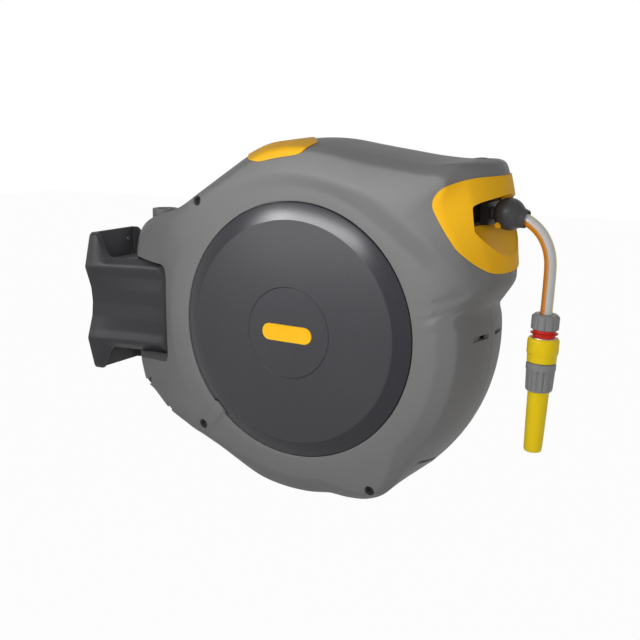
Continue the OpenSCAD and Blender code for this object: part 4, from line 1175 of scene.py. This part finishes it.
def bracket():
    """The loft and its cuts."""
    piece = loft("wall_bracket_moulded", in_frame(bracket_rings()), 30.0)
    turn = np.linspace(-math.pi / 2, math.pi / 2, 41)
    end = [(-358, -70), (PIVOT_X - 1, -70), (PIVOT_X - 1, -END_R)]
    end += [(PIVOT_X + END_R * math.cos(a), END_R * math.sin(a)) for a in turn]
    end += [(PIVOT_X - 1, END_R), (PIVOT_X - 1, 70), (-358, 70)]
    piece = combine(piece, [prism_z("keep", end, -130.0, 130.0)], "INTERSECT")
    tools = []
    for s in (-1, 1):
        for low, high in POCKETS:
            z = sorted((s * low[2], s * high[2]))
            tools.append(block("pocket", (low[0], low[1], z[0]), (high[0], high[1], z[1])))
        tools.append(plug("seat", BUSH_R, *sorted((s * 54.0, s * 74.0)), PIVOT))
        for y in (-BOLT_Y, BOLT_Y):
            tools.append(plug("bolt", BOLT_R, -365, -336, (0, y, BOLT_Z * s), "X", 32))
    tools.append(plug("bore", BORE_R, -100, 100, PIVOT))
    return soften(tidy(combine(piece, tools), 30.0), 0.8)


finish(tidy(bracket(), 34.0), "bracket", BRACKET, "bracket_plastic", "wall_bracket")

# %% [markdown]
# ## The pivot pin
# The reel swings on a long pin with a broad head, dished on top. It is a turned profile with eased
# edges.

# %% The pin
pin = turned("pivot_pin_turned", rounded([
    (CORE, -86), (9, -86), (9, 112.3), (17.4, 112.3), (17.4, 133), (13.2, 133), (12.5, 131.5),
    (12.5, 130), (CORE, 130)], 1.2), centre=PIVOT)
finish(pin, "pin", CASING, "casing_plastic", "pivot_pin")

# %% [markdown]
# ## The ball and the guide
# Inside the bowl, a dark block slides across behind the slot, and the hose stops against it with a
# ball in two halves. Each half is a turned profile taken half way round the neck's axis.

# %% The ball
BALL_R = 19.4  # radius of the ball
NECK_WAY = math.radians(104)  # from straight up: the neck dips 14 degrees below level
SCREW_BACK, SCREW_DOWN = 9.5, 12.5  # the ball's screw from its middle


def ball_half(name, side):
    """Half a ball with a short neck. From the rear bore, the profile follows the sphere to the
    neck, then comes back through the cone that lets the hose bend."""
    arc = np.radians(np.linspace(146.0, 42.0, 30))
    sphere = np.stack([BALL_R * np.sin(arc), BALL_R * np.cos(arc)], axis=1)
    neck = rounded([sphere[-1], (12.0, 16.0), (10.7, 22.3), (9.8, 22.3), (8.2, -2), (10.6, -6),
                    (10.8, -16.1)], 1.0, 4)[4:-4]
    profile = np.concatenate([sphere, neck])
    angle = np.linspace(0.006, math.pi - 0.006, 49)[:, None] * side
    r, along = profile[:, 0][None, :], np.broadcast_to(profile[:, 1], (49, len(profile)))
    points = np.stack([r * np.cos(angle), r * np.sin(angle), along], axis=2)
    return loft(name, tilted(points, NECK_WAY, BALL), 40.0)


def ball_with_seat(name, side):
    """A half with the screw's seat cut in it."""
    at = (BALL[0] - SCREW_BACK, BALL[2] - SCREW_DOWN)
    radius = 3.9 if side < 0 else 2.1
    tool = rod("seat", at, radius, *sorted((side * 9.9, side * 40.0)), sides=32)
    return tidy(combine(ball_half(name, side), [tool]), 40.0)


for name, side in (("ball_near", -1), ("ball_far", 1)):
    finish(ball_with_seat(name + "_half", side), "carriage", BALL_GREY, "ball_plastic", name)

# %% [markdown]
# ## Finishes for the rest
# Pieces that are seldom seen keep their construction mesh, which already has the right shape. They
# only get their finish.

# %% Finishes of kept nodes
KEPT = {
    BLACK: ("bush_upper", "bush_lower", "slot_liner", "ratchet_ring", "screw_pinion",
            "guide_carriage", "guide_front"),
    STEEL: ("spindle", "power_spring", "guide_rods", "pawl_pin", "cross_screw",
            "collar_spring"),
    FITTING_GREY: ("inlet_elbow", "connector_body"),
    LEMON: ("inlet_tap",),
    TRIM: ("ball_screw",),
    RED: ("pawl",),
    BRACKET: ("spring_case", "drum_hub", "flange_near", "flange_far"),
    HOSE_INNER: ("hose_lead", "hose_pack"),
}
for material, names in KEPT.items():
    for name in names:
        kept = bpy.data.objects[name]
        kept.data.materials.clear()
        kept.data.materials.append(material)
print("kept nodes:", sum(len(names) for names in KEPT.values()))

# %% [markdown]
# ## Floor, backdrop and light
# A floor far below and a white world give a plain studio. The world is white to the camera and in
# reflections, and dim to diffuse light. Two lamps do the rest: a small key close to the face, and a
# broad front lamp from the outlet's side. On the glossy cover both would show as squares, so neither
# is seen in gloss. Three softboxes on the left are seen in gloss alone, and draw the soft bands of
# light on the cover.

# %% The stage
WORLD_DIM = 0.22  # how bright the world is to diffuse rays
FLOOR_AT = (0.4, 0.0, -0.8)  # the floor's middle
GLOW_SHARE = 0.97  # how much of the floor's look is plain white


def stage_floor():
    """A broad floor, nearly white to the camera and in gloss, that still takes a faint shadow."""
    bm = bmesh.new()
    bmesh.ops.create_grid(bm, x_segments=24, y_segments=24, size=9.0)
    mesh = bpy.data.meshes.new("floor")
    bm.to_mesh(mesh)
    bm.free()
    floor = new_object("floor", mesh)
    floor.data.transform(Matrix.Translation(FLOOR_AT))
    paint = Paint("pale floor", Roughness=0.9)
    paint.feed(Base_Color=paint.blend(paint.noise(3.0), (0.84, 0.84, 0.84), (0.88, 0.88, 0.88)))
    glow = paint.node("ShaderNodeEmission", {}, {"Color": (1, 1, 1, 1), "Strength": 1.0})
    both = paint.node("ShaderNodeMixShader", {}, {
        0: paint.seen() * GLOW_SHARE, 1: Level(paint, paint.shader.outputs[0]), 2: glow})
    output = paint.tree.nodes["Material Output"]
    paint.tree.links.new(both.socket, output.inputs[0])
    floor.data.materials.append(paint.material)
    return floor


def studio_world(dim):
    """White to the camera, in gloss and through glass, and dim to diffuse rays."""
    world = bpy.data.worlds.new("studio")
    bpy.context.scene.world = world
    world.use_nodes = True
    sky = Shading(world.node_tree)
    strength = sky.node("ShaderNodeMapRange", {}, {"Value": sky.seen(), "To Min": dim})
    background = sky.tree.nodes["Background"]
    sky.tree.links.new(strength.socket, background.inputs["Strength"])
    background.inputs["Color"].default_value = (1, 1, 1, 1)


def softbox(name, at, aim, wide, tall, power):
    """A rectangular lamp at a place, turned to face its aim."""
    lamp = bpy.data.objects.new(name, bpy.data.lights.new(name, "AREA"))
    bpy.context.scene.collection.objects.link(lamp)
    lamp.data.shape = "RECTANGLE"
    lamp.data.size, lamp.data.size_y, lamp.data.energy = wide, tall, power
    lamp.location = at
    lamp.rotation_euler = (Vector(aim) - Vector(at)).to_track_quat("-Z", "Y").to_euler()
    return lamp


stage_floor()
studio_world(WORLD_DIM)
MIDDLE = Vector((0.36, 0.0, 0.0))  # what the broad lamps aim at
GLOSS_AWAY = 1.6  # metres from the middle to the softboxes of the gloss
GLOSS = (("streak", (-0.585, -0.627, 0.515), 0.4, 0.3, 5.0),
         ("sweep", (-0.27, -0.80, 0.54), 1.3, 0.36, 30.0),
         ("card", (-0.42, -0.9, 0.13), 0.9, 0.4, 3.0))
softbox("key", (0.38, -0.47, 0.20), (0.38, -0.08, 0.11), 0.2, 0.16, 1.15).visible_glossy = False
softbox("front", (1.75, -1.9, 0.42), MIDDLE, 1.4, 1.0, 16.5).visible_glossy = False
for name, way, *sizes in GLOSS:
    softbox(name, MIDDLE + GLOSS_AWAY * Vector(way), MIDDLE, *sizes).visible_diffuse = False
print("lamps:", 2 + len(GLOSS))
bpy.context.scene.view_settings.view_transform = "Standard"
